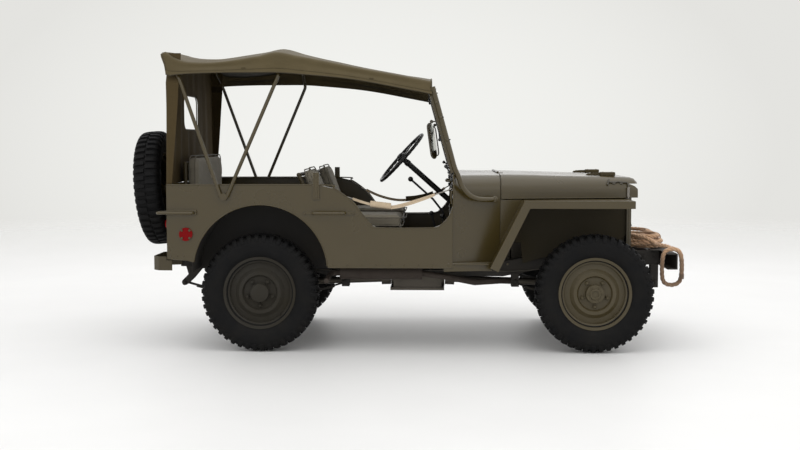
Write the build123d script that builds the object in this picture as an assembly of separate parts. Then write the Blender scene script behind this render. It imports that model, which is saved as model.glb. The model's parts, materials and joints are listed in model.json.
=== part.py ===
"""Open four-wheel-drive army field car with a canvas top: one STEP file for each sub-part.

Millimetres. X runs forward, Y to the left and Z up. Places along the car are first given from
the middle of the wheelbase, and the whole car then moves by SHIFT_X so that the origin stands
on the ground in the middle of its length and width.
"""
from build123d import *
import os
from math import atan2, cos, degrees, radians, sin, tan

# ---- driving dimensions ----------------------------------------------------------------
WHEELBASE = 2032
TRACK = 1245
FRONT_END = 1515            # front face of the bumper
REAR_END = -1815.65         # rearmost point of the spare tyre
SHIFT_X = -(FRONT_END + REAR_END) / 2
AXLE_X = WHEELBASE / 2
WHEEL_Z = 360               # axle height, which is the tyre's radius

TYRE_R, TYRE_HALF = 360, 80
RIM_R, RIM_HALF = 203, 57
KINGPIN_Y = 520
STEER_ARM = 150

TUB_HALF = 745
TUB_REAR = -1562
TUB_TOP = 1018
SILL_Z = 522
DOOR_FRONT = 155            # front edge of the doorway
ARCH_X, ARCH_Z, ARCH_R = -1000, 495, 408
FLOOR_Z, REAR_FLOOR_Z = 528, 568
SHEET = 6

COWL_FRONT, COWL_TOP = 445, 1078
COWL_REAR_HALF, COWL_FRONT_HALF = 722, 600
FENDER_OUT, FENDER_TOP, FENDER_LIP = 755, 925, 45
FENDER_REAR, FENDER_FRONT, FENDER_FOOT = 583, 1238, 390
HOOD_NOSE = 1305
HOOD_HINGE = (446, 1085)
LAMP_Y, LAMP_Z = 310, 860

RAIL_IN, RAIL_OUT = 330, 380
SPRING_Y, SPRING_W = 355, 44
SPRING_EYE_Z, SPRING_MID_Z = 390, 312

SCREEN_FOOT = (184, 1100)   # lower front edge of the windscreen frame, as X and Z
SCREEN_RAKE = 15.4
SCREEN_H, SCREEN_HALF, SCREEN_DEEP = 527, 725, 42
SCREEN_PIVOT = (412, 930)

STEER_HUB = (-180, 350, 1168)
COLUMN_FOOT = (505, 430, 556)
COLUMN_BEYOND = (580, 438.8, 489)    # further along the same line, past the steering box
TUBE_R = 12                  # seat tubes
SPARE = (-1712, -300, 985)
SPARE_LEAN = 4.5            # degrees, the top leaning back
BOW_PIVOT = (-1213, 762, 948)


# ---- small helpers ---------------------------------------------------------------------
def box(x0, x1, y0, y1, z0, z1):
    """A block between two corners."""
    return Pos((x0 + x1) / 2, (y0 + y1) / 2, (z0 + z1) / 2) * Box(x1 - x0, y1 - y0, z1 - z0)


def outline(points):
    """A flat face through the listed corners."""
    return make_face(Polyline(*points, close=True))


def side_prism(face, y0, y1):
    """A face drawn as X and Z, made solid between two Y planes."""
    return extrude(Pos(0, y0, 0) * (Plane.XZ * face), amount=y1 - y0, dir=(0, 1, 0))


def front_prism(face, x0, x1):
    """A face drawn as Y and Z, made solid between two X planes."""
    return extrude(Pos(x0, 0, 0) * (Plane.YZ * face), amount=x1 - x0, dir=(1, 0, 0))


def plan_prism(face, z0, z1):
    """A face drawn as X and Y, made solid between two heights."""
    return extrude(Pos(0, 0, z0) * face, amount=z1 - z0, dir=(0, 0, 1))


def rod(start, end, radius):
    """A round bar between two points."""
    line = Vector(*end) - Vector(*start)
    return Plane(origin=start, z_dir=line) * Cylinder(
        radius, line.length, align=(Align.CENTER, Align.CENTER, Align.MIN))


def bent_bar(points, bend, radius):
    """A round bar along straight runs, with each corner rounded to the same bend radius."""
    path = FilletPolyline(*points, radius=bend)
    return sweep(Plane(origin=path @ 0, z_dir=path % 0) * Circle(radius), path=path)


def mirrored(shape):
    """The same shape on the other side of the car."""
    return mirror(shape, about=Plane.XZ)


def both(shape):
    """A shape and its mirror image, as two separate solids."""
    return [shape, mirrored(shape)]


def turned_about_y(points):
    """A solid turned about the Y axis through the origin, from (radius, Y) corners."""
    return revolve(outline(points), axis=Axis.Y)


def fused(pieces):
    """One solid from touching pieces."""
    whole = pieces[0]
    for piece in pieces[1:]:
        whole = whole + piece
    return whole


# ---- chassis ---------------------------------------------------------------------------
def frame():
    """Ladder frame: two side rails, five crossmembers and the spring hangers."""
    side = outline([(-1560, 490), (-800, 480), (-620, 432), (480, 432), (820, 500),
                    (1455, 510), (1455, 595), (800, 590), (450, 520), (-600, 520),
                    (-780, 560), (-1560, 560)])
    pieces = [side_prism(side, -RAIL_OUT, -RAIL_IN)]
    pieces.append(mirrored(pieces[0]))
    crossmembers = [  # rear face, front face, bottom, top
        (-1560, -1500, 490, 560), (-760, -720, 478, 540), (-330, -280, 436, 516),
        (1100, 1150, 505, 585), (1400, 1440, 512, 592)]
    for rear, front, bottom, top in crossmembers:
        pieces.append(box(rear, front, -RAIL_OUT, RAIL_OUT, bottom, top))
    hangers = [(-514, 438), (555, 452), (1425, 512)]  # X, rail bottom
    shackle = outline([(-1528, 496), (-1411, 496), (-1482, 412), (-1524, 372), (-1537, 369),
                       (-1550, 374), (-1556, 388), (-1552, 400), (-1512, 440)])
    for y in (SPRING_Y - SPRING_W / 2 - 8, SPRING_Y + SPRING_W / 2 + 2):
        pieces += both(side_prism(shackle, y, y + 6))
        for x, rail_z in hangers:
            pieces += both(box(x - 24, x + 24, y, y + 6, SPRING_EYE_Z - 24, rail_z))
    return [fused(pieces)]


def leaf_spring(middle_x, half_length):
    """A pack of curved leaves, bowed downwards, with a rolled eye at each end."""
    rise = SPRING_EYE_Z - SPRING_MID_Z
    radius = (half_length ** 2 + rise ** 2) / (2 * rise)
    centre_z = SPRING_MID_Z + radius
    reach = atan2(half_length, radius - rise)
    pieces = []
    for number, share in enumerate((0.985, 0.85, 0.68, 0.5, 0.32)):
        inner, outer = radius + 7 * number - 3, radius + 7 * number + 4
        angle = reach * share
        edges = []
        for r in (inner, outer):
            left = (middle_x - r * sin(angle), centre_z - r * cos(angle))
            right = (middle_x + r * sin(angle), centre_z - r * cos(angle))
            edges.append(ThreePointArc(left, (middle_x, centre_z - r), right))
        ends = [Line(edges[0] @ t, edges[1] @ t) for t in (0, 1)]
        leaf = make_face(edges + ends)
        pieces.append(side_prism(leaf, SPRING_Y - SPRING_W / 2, SPRING_Y + SPRING_W / 2))
    for x in (middle_x - half_length, middle_x + half_length):
        eye = Pos(x, SPRING_Y, SPRING_EYE_Z) * Rot(90, 0, 0) * Cylinder(17, SPRING_W)
        pieces.append(eye)
    return fused(pieces)


def leaf_springs():
    """The four leaf springs, which pass under the axles."""
    return both(leaf_spring(-1025.5, 511.5)) + both(leaf_spring(990, 435))


def axle_housing(x, tube_end):
    """A tube across the car with the differential's housing right of the middle."""
    pieces = [rod((x, -tube_end, WHEEL_Z), (x, tube_end, WHEEL_Z), 32)]
    pieces.append(Pos(x, -190, WHEEL_Z) * Sphere(108))
    pieces.append(rod((x, -190, WHEEL_Z), (x - (1 if x > 0 else -1) * 138, -190, 372), 46))
    for y in (-SPRING_Y, SPRING_Y):
        pieces.append(box(x - 46, x + 46, y - 26, y + 26, SPRING_MID_Z + 7, WHEEL_Z + 20))
    return pieces


def axles():
    """Front axle with a ball at each end, and rear axle with its brake plates."""
    front = axle_housing(AXLE_X, KINGPIN_Y)
    rear = axle_housing(-AXLE_X, 580)
    for side in (-1, 1):
        front.append(Pos(AXLE_X, side * KINGPIN_Y, WHEEL_Z) * Sphere(52))
        rear.append(rod((-AXLE_X, side * 578, WHEEL_Z), (-AXLE_X, side * 584, WHEEL_Z), 130))
        rear.append(rod((-AXLE_X, side * 584, WHEEL_Z), (-AXLE_X, side * 640, WHEEL_Z), 20))
    return [fused(front), fused(rear)]


def knuckle(side):
    """Steering knuckle: fork over the axle's ball, brake plate, stub axle and arm."""
    def at(x0, x1, y0, y1, z0, z1):
        low, high = sorted((side * y0, side * y1))
        return box(AXLE_X + x0, AXLE_X + x1, low, high, WHEEL_Z + z0, WHEEL_Z + z1)
    stub = [(578, 584, 130), (584, 640, 20)]  # from, to, radius
    pieces = []
    for start, end, radius in stub:
        pieces.append(rod((AXLE_X, side * start, WHEEL_Z), (AXLE_X, side * end, WHEEL_Z), radius))
    pieces.append(at(-30, 30, KINGPIN_Y - 30, 580, 58, 74))
    pieces.append(at(-30, 30, KINGPIN_Y - 30, 580, -74, -58))
    pieces.append(at(-30, 30, 566, 580, -74, 74) - at(-40, 40, 540, 574, -57, 57))
    kingpin = (AXLE_X, side * KINGPIN_Y)
    for low, high in ((58, 84), (-84, -58)):
        pieces.append(rod((*kingpin, WHEEL_Z + low), (*kingpin, WHEEL_Z + high), 17))
    arm = [(10, 574), (10, 580), (60, 580), (STEER_ARM + 14, 534), (STEER_ARM + 14, 506),
           (STEER_ARM - 14, 506), (56, 574)]
    plan = outline([(AXLE_X + x, side * y) for x, y in arm])
    pieces.append(plan_prism(plan, WHEEL_Z + 24, WHEEL_Z + 36))
    return [fused(pieces)]


def tie_rod():
    """The rod that joins the two steering arms, ahead of the front axle."""
    x, z, y = AXLE_X + STEER_ARM, WHEEL_Z - 6, KINGPIN_Y
    pieces = [rod((x, -y, z), (x, y, z), 12)]
    for side in (-1, 1):
        pieces.append(rod((x, side * y, z - 14), (x, side * y, z + 27), 14))
    return [fused(pieces)]


def gearbox():
    """Gearbox with its transfer case to the right, and the skid plate under them."""
    pieces = [box(90, 540, -105, 105, 420, 600), box(-215, 92, -270, 95, 345, 505)]
    pieces.append(box(-235, 110, -280, 105, 329, 346))
    pieces.append(rod((-230, -190, 395), (-214, -190, 395), 48))
    pieces.append(rod((91, -190, 395), (112, -190, 395), 48))
    return [fused(pieces)]


def propeller_shafts():
    """Front and rear shafts, each with a joint at both ends."""
    shafts = []
    for near, far, far_z in ((116, AXLE_X - 142, 372), (-234, -AXLE_X + 142, 372)):
        run = 1 if far > near else -1
        shaft = rod((near, -190, 395), (far, -190, far_z), 22)
        shaft += rod((near, -190, 395), (near + run * 60, -190, 393), 38)
        shaft += rod((far - run * 60, -190, far_z + 1), (far, -190, far_z), 38)
        shafts.append(shaft)
    return shafts


def engine_block():
    """The engine as one plain block at its real place and size."""
    return [box(545, 1060, -150, 150, 470, 930)]


def radiator():
    """The radiator core behind the grille, with a header tank."""
    return [box(1165, 1215, -240, 240, 598, 960) + box(1158, 1222, -220, 220, 955, 1010)]


def exhaust():
    """Front pipe under the right rail, silencer under the floor, and side tail pipe."""
    front = bent_bar([(600, -175, 470), (560, -260, 396), (300, -400, 396), (120, -480, 440),
                      (-60, -480, 465)], 40, 19)
    silencer = rod((-540, -480, 465), (-30, -480, 465), 42)
    tail = bent_bar([(-530, -480, 465), (-600, -480, 462), (-612, -640, 430)], 40, 16)
    return [fused([front, silencer, tail])]


def fuel_tank():
    """Tank under the driver's seat, with its filler neck."""
    tank = box(-495, -200, 190, 550, FLOOR_Z + SHEET + 1, 690)
    neck = rod((-250, 628, 640), (-250, 628, 720), 34) + box(-284, -216, 549, 628, 650, 688)
    return [tank + neck]


def front_bumper():
    """Channel-section bumper, open to the rear, with a hole for the starting crank."""
    web, flange = 6, 60
    channel = box(FRONT_END - flange, FRONT_END, -640, 640, 507, 602)
    channel -= box(FRONT_END - flange - 1, FRONT_END - web, -641, 641, 513, 596)
    crank_hole = rod((FRONT_END - 20, 0, 554), (FRONT_END + 20, 0, 554), 24)
    ends = both(box(1400, 1456, RAIL_IN - 40, RAIL_OUT + 20, 597, 602))
    return [fused([channel - crank_hole] + ends)]


def bumperette():
    """A short channel behind the tub that turns forward round its corner."""
    path = [(-1550, 400), (-1652, 430), (-1652, 690), (-1612, 731), (-1538, 736)]
    web = offset(FilletPolyline(*path, radius=22), amount=4, side=Side.BOTH)
    under_tub = box(-1567, -1500, 380, 780, 564, 600)
    return plan_prism(make_face(web.edges()), 503, 587) - under_tub


def rear_bumperettes():
    """The two bumperettes at the rear of the frame."""
    return both(bumperette())


def pintle_hook():
    """Towing hook on the rear crossmember: base plate, horn, jaw and latch."""
    base = box(-1574, -1562, -55, 55, 480, 575)
    horn = box(-1640, -1570, -22, 22, 500, 550)
    ring = Pos(-1665, 0, 527) * Rot(90, 0, 0) * (Cylinder(52, 40) - Cylinder(26, 42))
    latch = box(-1668, -1612, -16, 16, 575, 592)
    return [fused([base, horn, ring, latch])]


# ---- body ------------------------------------------------------------------------------
def side_outline(inset):
    """The body side as X and Z, drawn in by inset all round for the inside of its flange."""
    points = [(TUB_REAR, 573), (-1448, 565), (-1300, SILL_Z), (DOOR_FRONT, SILL_Z),
              (DOOR_FRONT, 898), (132, 830), (84, 780), (33, 762), (-294, 762), (-332, 783),
              (-386, 844), (-431, 905), (-484, 951), (-560, 1000), (-637, TUB_TOP),
              (TUB_REAR, TUB_TOP)]
    face = outline(points)
    if inset:
        face = offset(face, amount=-inset, kind=Kind.INTERSECTION)
    return face - Pos(ARCH_X, ARCH_Z) * Circle(ARCH_R + inset)


def body_side():
    """Left body side: a skin with a flange turned in round its whole edge."""
    skin = side_prism(side_outline(0), TUB_HALF - SHEET, TUB_HALF)
    flange = side_prism(side_outline(0), TUB_HALF - 32, TUB_HALF)
    flange -= side_prism(side_outline(5), TUB_HALF - 40, TUB_HALF + 1)
    piece = skin + flange
    return max(piece.solids(), key=lambda solid: solid.volume)


def body_side_left():
    return [body_side()]


def body_side_right():
    return [mirrored(body_side())]


def rear_panel():
    """Flat rear wall of the tub, with a rail along its top."""
    half = TUB_HALF - 33
    wall = box(TUB_REAR, TUB_REAR + SHEET, -half, half, 575, TUB_TOP)
    rail = box(TUB_REAR, TUB_REAR + 34, -half, half, TUB_TOP - 24, TUB_TOP)
    posts = both(box(TUB_REAR, TUB_REAR + 30, half - 10, half, 575, TUB_TOP - 20))
    return [fused([wall, rail] + posts)]


def wheel_box():
    """Housing over a rear wheel: inner wall, locker behind the wheel, flat and curved tops."""
    near, far, low, gap = 470, TUB_HALF - 34, REAR_FLOOR_Z, 0.2
    outer, inner = ARCH_R + 12, ARCH_R + 6
    locker_front = -1430
    quarter = Pos(ARCH_X, ARCH_Z) * Circle(outer)
    quarter &= Pos(ARCH_X, low) * Rectangle(500, 500, align=Align.MIN)
    square = Pos(-1526, low) * Rectangle(ARCH_X + 1526, ARCH_Z + outer - low, align=Align.MIN)
    wall = side_prism(quarter + square, near, near + SHEET)
    locker = box(-1526, locker_front, near + SHEET + gap, far, low, ARCH_Z + outer)
    flat = box(locker_front + gap, ARCH_X - gap, near + SHEET + gap, far, ARCH_Z + inner,
               ARCH_Z + outer)
    curve = side_prism(quarter - Pos(ARCH_X, ARCH_Z) * Circle(inner), near + SHEET + gap, far)
    return [wall, locker, flat, curve]


def wheel_boxes():
    """The housings over both rear wheels."""
    return [solid for piece in wheel_box() for solid in both(piece)]


def tub_floor():
    """Front floor, toe board and the tunnel over the gearbox, as welded panels."""
    inside, gap, tunnel_half, tunnel_top = TUB_HALF - 34, 0.2, 125, 630
    tunnel_rear, tunnel_front = -160, 436
    floor = box(-606, 200, -inside, inside, FLOOR_Z, FLOOR_Z + SHEET)
    floor -= box(tunnel_rear, 300, -tunnel_half, tunnel_half, 500, 560)
    toe = side_prism(outline([(201, FLOOR_Z), (206, FLOOR_Z), (436, 752), (436, 760),
                              (430, 760), (201, 538)]), -575, 575)
    toe -= box(150, 500, -tunnel_half - gap, tunnel_half + gap, 500, tunnel_top + gap)
    toe -= rod(STEER_HUB, COLUMN_BEYOND, 26)
    top = box(tunnel_rear, tunnel_front, -tunnel_half, tunnel_half, tunnel_top - SHEET,
              tunnel_top)
    side = box(tunnel_rear, tunnel_front, tunnel_half - SHEET, tunnel_half, FLOOR_Z,
               tunnel_top - SHEET - gap)
    rear = box(tunnel_rear, tunnel_rear + SHEET, gap - tunnel_half + SHEET,
               tunnel_half - SHEET - gap, FLOOR_Z, tunnel_top - SHEET - gap)
    return [floor, toe, top, rear] + both(side)


def rear_floor():
    """Raised floor between the wheel boxes, and the riser ahead of it."""
    plate = box(-1526, -600, -469.5, 469.5, REAR_FLOOR_Z, REAR_FLOOR_Z + SHEET)
    riser = box(-606, -600, -469.5, 469.5, FLOOR_Z + SHEET + 0.2, REAR_FLOOR_Z - 0.2)
    return [plate, riser]


def cowl_block(inset, rear, bottom):
    """The cowl's outer form, tapering forward, with round shoulders along its top."""
    slope = (COWL_REAR_HALF - COWL_FRONT_HALF) / (COWL_FRONT - DOOR_FRONT)
    front_half = COWL_FRONT_HALF - inset
    rear_half = front_half + slope * (COWL_FRONT - rear)
    front = COWL_FRONT - inset
    plan = outline([(rear, -rear_half), (front, -front_half), (front, front_half),
                    (rear, rear_half)])
    block = plan_prism(plan, bottom, COWL_TOP - inset)
    long_edges = [edge for edge in block.edges()
                  if abs(edge.center().Z - (COWL_TOP - inset)) < 1
                  and abs(edge.center().Y) > 300]
    return fillet(long_edges, 108 - inset)


def cowl():
    """Cowl top, tapered sides, firewall and instrument panel."""
    shell = cowl_block(0, DOOR_FRONT + 0.6, 549) - cowl_block(SHEET, 150, 500)
    dash = cowl_block(0, 172, 880) - cowl_block(0, 180, 800)
    dash = dash & box(172, 180, -700, 700, 880, COWL_TOP)
    foot = both(plan_prism(outline([(170, 712), (370, 630), (370, TUB_HALF), (170, TUB_HALF)]),
                           543, 549))
    firewall_cut = box(400, 500, -119, 119, 500, 640)
    column = rod(STEER_HUB, COLUMN_BEYOND, 26)
    toe_gap = side_prism(outline([(150, 500), (206, 500), (462, 760), (440, 762),
                                  (420, 762), (150, 530)]), -577, 577)
    pins = both(rod((SCREEN_PIVOT[0], 596, SCREEN_PIVOT[1]),
                    (SCREEN_PIVOT[0], 623.5, SCREEN_PIVOT[1]), 13))
    body = fused([shell, dash] + foot + pins)
    return [max((body - firewall_cut - column - toe_gap).solids(), key=lambda s: s.volume)]


def hood_line(x):
    """Half width of the hood at a place along it."""
    return 597 - (x - COWL_FRONT) * 0.18


def fender():
    """Left front wing: flat top, sloping back, outer lip and inner apron."""
    apron_y = 402
    top = box(FENDER_REAR, FENDER_FRONT, apron_y, FENDER_OUT, FENDER_TOP - SHEET, FENDER_TOP)
    profile = [(FENDER_FOOT + 38, 500), (FENDER_REAR + 32, FENDER_TOP - FENDER_LIP),
               (FENDER_FRONT, FENDER_TOP - FENDER_LIP), (FENDER_FRONT, FENDER_TOP),
               (FENDER_REAR, FENDER_TOP), (FENDER_FOOT - 10, 524)]
    slope = [(FENDER_FOOT + 2, 516), (FENDER_REAR + 8, FENDER_TOP - SHEET),
             (FENDER_REAR + 8, FENDER_TOP), (FENDER_REAR, FENDER_TOP),
             (FENDER_FOOT - 10, 524)]
    lip = side_prism(outline(profile), FENDER_OUT - SHEET, FENDER_OUT)
    back = side_prism(outline(slope), apron_y, FENDER_OUT)
    apron = side_prism(outline([(462, 650), (588, 650), (600, 520), (749, 562), (1200, 660),
                                (FENDER_FRONT, 700), (FENDER_FRONT, FENDER_TOP),
                                (FENDER_REAR, FENDER_TOP)]), apron_y, apron_y + SHEET)
    flank = plan_prism(outline([(COWL_FRONT + 2, 591), (590, 566), (590, 572),
                                (COWL_FRONT + 2, 597)]), 600, FENDER_TOP)
    flank &= side_prism(outline([(COWL_FRONT + 2, 634), (590, 917), (590, FENDER_TOP),
                                 (COWL_FRONT + 2, FENDER_TOP)]), 500, 700)
    sheet = fused([top, lip, back, apron, flank])
    return sheet - cowl_block(-1, 150, 480)


def front_fenders():
    """The two front wings, each a single sheet with its lip and apron."""
    column = rod(STEER_HUB, COLUMN_BEYOND, 26)
    return [wing - column for wing in both(fender())]


def grille():
    """Pressed grille: upright slots, two lamp openings and a return flange each side."""
    outer = outline([(-430, 600), (430, 600), (430, 990), (400, 1012), (-400, 1012),
                     (-430, 990)])
    plate = front_prism(outer, 1262, 1268)
    flange = front_prism(outer, 1240, 1268) - front_prism(offset(outer, -6), 1200, 1262)
    body = plate + flange
    for number in range(-4, 5):
        slot = SlotOverall(330, 25, rotation=90)
        body -= front_prism(Pos(number * 45, 800) * slot, 1180, 1300)
    for side in (-1, 1):
        body -= front_prism(Pos(side * LAMP_Y, LAMP_Z) * Circle(84), 1180, 1300)
    return [body]


def headlamps():
    """The two headlamps, set behind the grille."""
    profile = outline([(0, 1262), (60, 1256), (80, 1246), (78, 1236), (62, 1200), (30, 1182),
                       (0, 1180)])
    lamp = revolve(Plane.XY * profile, axis=Axis.Y)
    return both(Pos(0, LAMP_Y, LAMP_Z) * Rot(0, 0, -90) * lamp)


def hood_block_form(inset, rear, nose):
    """The hood's outer form: sections with round shoulders, falling away at the nose."""
    sections = []
    places = [(rear, 1080, 108), (1200, 1062, 96), (1262, 1057, 92), (1288, 1049, 86),
              (nose, 1030, 74)]  # X, top, radius
    for x, top, radius in places:
        half = hood_line(min(x, HOOD_NOSE)) - inset
        high = top - inset
        form = outline([(-half, 932 - inset * 4), (half, 932 - inset * 4), (half, high),
                        (-half, high)])
        corners = [v for v in form.vertices() if v.Y > 1000]
        sections.append(Pos(x, 0, 0) * (Plane.YZ * fillet(corners, radius - inset)))
    return loft(sections, ruled=True)


def hood():
    """Sheet hood with round shoulders and a nose that closes over the grille."""
    shell = hood_block_form(0, COWL_FRONT + 4, HOOD_NOSE)
    shell -= hood_block_form(SHEET, COWL_FRONT - 2, HOOD_NOSE - SHEET)
    shell -= box(HOOD_NOSE - 60, HOOD_NOSE + 10, -436, 436, 900, 1018)
    hinge_x, hinge_z = HOOD_HINGE
    hinge = rod((hinge_x, -300, hinge_z), (hinge_x, 300, hinge_z), 5)
    leaf = box(hinge_x, hinge_x + 30, -300, 300, hinge_z - 6, hinge_z - 2)
    return [fused([shell, hinge, leaf])]


def hood_blocks():
    """Two wooden blocks on the hood, on which the folded windscreen rests."""
    block = box(1083, 1173, 320, 380, 1052, 1086)
    return both(block - hood_block_form(0, COWL_FRONT + 4, HOOD_NOSE))


# ---- windscreen ------------------------------------------------------------------------
def on_screen(shape):
    """Place a shape drawn upright at the windscreen's lower front edge."""
    return Pos(SCREEN_FOOT[0], 0, SCREEN_FOOT[1]) * Rot(0, -SCREEN_RAKE, 0) * shape


def windscreen_panes():
    """The two glass openings: low Y, high Y."""
    return [(-684, -16), (16, 684)]


def windscreen_frame():
    """Windscreen frame with a sheet lower panel, centre bar and two pivot arms."""
    frame_face = Rectangle(2 * SCREEN_HALF, SCREEN_H, align=(Align.CENTER, Align.MIN))
    corners = [v for v in frame_face.vertices() if v.Y > 100]
    body = front_prism(fillet(corners, 60), -SCREEN_DEEP, 0)
    body -= box(-SCREEN_DEEP - 1, -8, -690, 690, 30, 515)
    body += box(-SCREEN_DEEP, 0, -16, 16, 0, SCREEN_H)
    for low, high in windscreen_panes():
        body -= box(-SCREEN_DEEP - 1, 1, low, high, 140, 512)
    body = on_screen(body)
    foot_x, foot_z = SCREEN_FOOT
    for side in (-1, 1):
        arm = bent_bar([(foot_x - 14, side * 733, foot_z + 20), (215, side * 733, 998),
                        (290, side * 700, 932), (SCREEN_PIVOT[0], side * 640, SCREEN_PIVOT[1])],
                       26, 11)
        eye_end = side * 652
        eye = rod((SCREEN_PIVOT[0], side * 624, SCREEN_PIVOT[1]),
                  (SCREEN_PIVOT[0], eye_end, SCREEN_PIVOT[1]), 17)
        body = body + arm + eye
    return [body]


def windscreen_glass():
    """The two panes."""
    return [on_screen(box(-18, -12, low, high, 140, 512)) for low, high in windscreen_panes()]


def mirrors():
    """A tall round-ended mirror inside each windscreen post, turned towards the seats."""
    glass = front_prism(SlotOverall(215, 60, rotation=90), -6, 6)
    heads = []
    for x, y, turn in ((50, 700, 35), (30, -700, -35)):
        arm = rod((0, 0, 95), (75 - x, 0, 95), 5)
        heads.append(Pos(x, y, 1282) * Rot(0, -8, 0) * (Rot(0, 0, turn) * glass + arm))
    return heads


# ---- inside ----------------------------------------------------------------------------
def steering_wheel():
    """Three-spoked steering wheel, square to its column."""
    ring = Torus(211, 11)
    hub = Cylinder(30, 34)
    pieces = [ring, hub]
    for number in range(3):
        pieces.append(Rot(0, 0, 120 * number + 60) * box(20, 206, -7, 7, -5, 5))
    along = Vector(*STEER_HUB) - Vector(*COLUMN_FOOT)
    return [Plane(origin=STEER_HUB, x_dir=(0, 1, 0), z_dir=along) * fused(pieces)]


def steering_column():
    """Column from below the wheel's hub to the steering box outside the left rail."""
    hub, foot = Vector(*STEER_HUB), Vector(*COLUMN_FOOT)
    start = hub + (foot - hub).normalized() * 22
    steering_box = box(480, 578, RAIL_OUT + 6, 464, 500, 600)
    bracket = box(470, 540, RAIL_OUT + 0.5, RAIL_OUT + 8, 460, 515)
    return [fused([rod(tuple(start), tuple(foot), 19), steering_box, bracket])]


def levers_and_pedals():
    """Long gear lever, two transfer levers, handbrake grip and three pedals."""
    routes = [  # points from foot to knob, rod radius, knob radius
        ([(150, -20, 634), (128, -20, 745), (98, -20, 822), (37, -20, 900), (-111, -20, 1032)],
         7, 17),
        ([(72, -75, 634), (27, -75, 811)], 7, 15),
        ([(118, -75, 634), (98, -75, 790)], 7, 15)]
    pieces = []
    for route, thick, ball in routes:
        lever = fused([rod(start, end, thick) for start, end in zip(route, route[1:])])
        for bend in route[1:-1]:
            lever += Pos(*bend) * Sphere(thick + 0.2)
        pieces.append(lever + Pos(*route[-1]) * Sphere(ball))
    for y in (300, 440, 560):
        pieces.append(rod((320, y, 662), (215, y, 700), 7) + box(200, 216, y - 32, y + 32, 680, 745))
    return pieces


def seat_frame(centre_y, half, back_foot, back_top, top_z, front_x, foot_x):
    """Tubular seat frame: two side hoops, cross tubes and a back hoop."""
    pieces = []
    low = FLOOR_Z + SHEET + TUBE_R + 2      # the front feet are also the tilting seat's hinge
    seat_z = SEAT_Z
    front, rear, rear_foot = front_x - 30, back_foot, foot_x
    inner, outer = centre_y - half + 14, centre_y + half - 14
    for y in (inner, outer):
        joints = [(front, y, low), (front, y, seat_z), (rear, y, seat_z), (rear_foot, y, low)]
        for start, end in zip(joints, joints[1:]):
            pieces.append(rod(start, end, TUBE_R))
        pieces.append(rod((front, y - 17, low), (front, y + 17, low), TUBE_R + 1))
        joints.append((back_top, y, top_z - 50))
        pieces.append(rod(joints[2], joints[4], TUBE_R))
        for joint in joints[1:]:
            pieces.append(Pos(*joint) * Sphere(TUBE_R + 1.5))
    for x, z in ((front, seat_z), (rear, seat_z), (back_top, top_z - 50), (front, low + 60),
                 (rear_foot, low)):
        pieces.append(rod((x, inner, z), (x, outer, z), TUBE_R))
    return fused(pieces)


def seat_cushions(centre_y, half, back_foot, back_top, top_z, front_x, _foot_x):
    """Seat cushion on the frame's side bars, and back pad in front of the back hoop."""
    seat = box(back_foot + 70, front_x, centre_y - half, centre_y + half, SEAT_Z + 14,
               SEAT_Z + 84)
    lean = degrees(atan2(back_foot - back_top, top_z - SEAT_Z))
    pad = box(15, 62, centre_y - half, centre_y + half, 106, top_z - SEAT_Z + 6)
    return [seat, Pos(back_foot, 0, SEAT_Z) * Rot(0, -lean, 0) * pad]


SEAT_Z = 738      # height of the front seats' side tubes
# middle Y, half width, X of the back's foot and top, Z of the top, front X, rear legs' foot X
DRIVER = (370, 215, -620, -765, 1122, -145, -545)
PASSENGER = (-355, 205, -634, -788, 1124, -145, -498)


def rear_seat_frame():
    """Tubular frame of the rear bench, between the wheel boxes."""
    low, seat_z, back_z, half = REAR_FLOOR_Z + SHEET + TUBE_R, 780, 1140, 425
    front, rear = -1110, -1514
    pieces = []
    for y in (-half, half):
        for start, end in (((front, y, low), (front, y, seat_z)),
                           ((front, y, seat_z), (rear, y, seat_z)),
                           ((rear, y, low), (rear, y, back_z))):
            pieces.append(rod(start, end, TUBE_R))
        for x, z in ((front, seat_z), (rear, back_z)):
            pieces.append(Pos(x, y, z) * Sphere(TUBE_R + 1.5))
    for x, z in ((front, seat_z), (rear, seat_z), (rear, back_z), (front, low), (rear, low)):
        pieces.append(rod((x, -half, z), (x, half, z), TUBE_R))
    return [fused(pieces)]


def rear_seat_cushions():
    """Rear bench cushion and the back pad ahead of its frame."""
    return [box(-1430, -1062, -440, 440, 795, 868), box(-1499, -1441, -440, 440, 820, 1196)]


# ---- canvas top ------------------------------------------------------------------------
def roof_section(x, crest, fold, edge):
    """Closed band across the roof at one place: crown, fold line and hanging edge."""
    outer = [(-748, edge), (-716, fold), (-380, crest - (crest - fold) * 0.3), (0, crest),
             (380, crest - (crest - fold) * 0.3), (716, fold), (748, edge)]
    drop = 7
    inner = [(748 - drop, edge), (716 - drop, fold - drop),
             (380, crest - (crest - fold) * 0.3 - drop), (0, crest - drop),
             (-380, crest - (crest - fold) * 0.3 - drop), (-716 + drop, fold - drop),
             (-748 + drop, edge)]
    return Pos(x, 0, 0) * (Plane.YZ * outline(outer + inner))


# X, crest, fold line, edge
ROOF_FRONT = [(29, 1672, 1632, 1556), (-440, 1760, 1722, 1646), (-898, 1866, 1804, 1684)]
ROOF_REAR = [(-902, 1866, 1804, 1684), (-1250, 1826, 1762, 1686), (-1558, 1828, 1806, 1668)]


def roof_canvas_front():
    """Canvas from the windscreen back to the front bow."""
    return [loft([roof_section(*row) for row in ROOF_FRONT], ruled=True)]


def roof_canvas_rear():
    """Canvas from the front bow to the rear bow."""
    return [loft([roof_section(*row) for row in ROOF_REAR], ruled=True)]


def rear_curtain():
    """Canvas across the back with its window opening."""
    sheet = front_prism(outline([(-722, 1026), (722, 1026), (740, 1668), (708, 1798), (0, 1820),
                                 (-708, 1798), (-740, 1668)]), -1572, -1565)
    return [sheet - box(-1580, -1560, -225, 225, 1340, 1598)]


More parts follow.
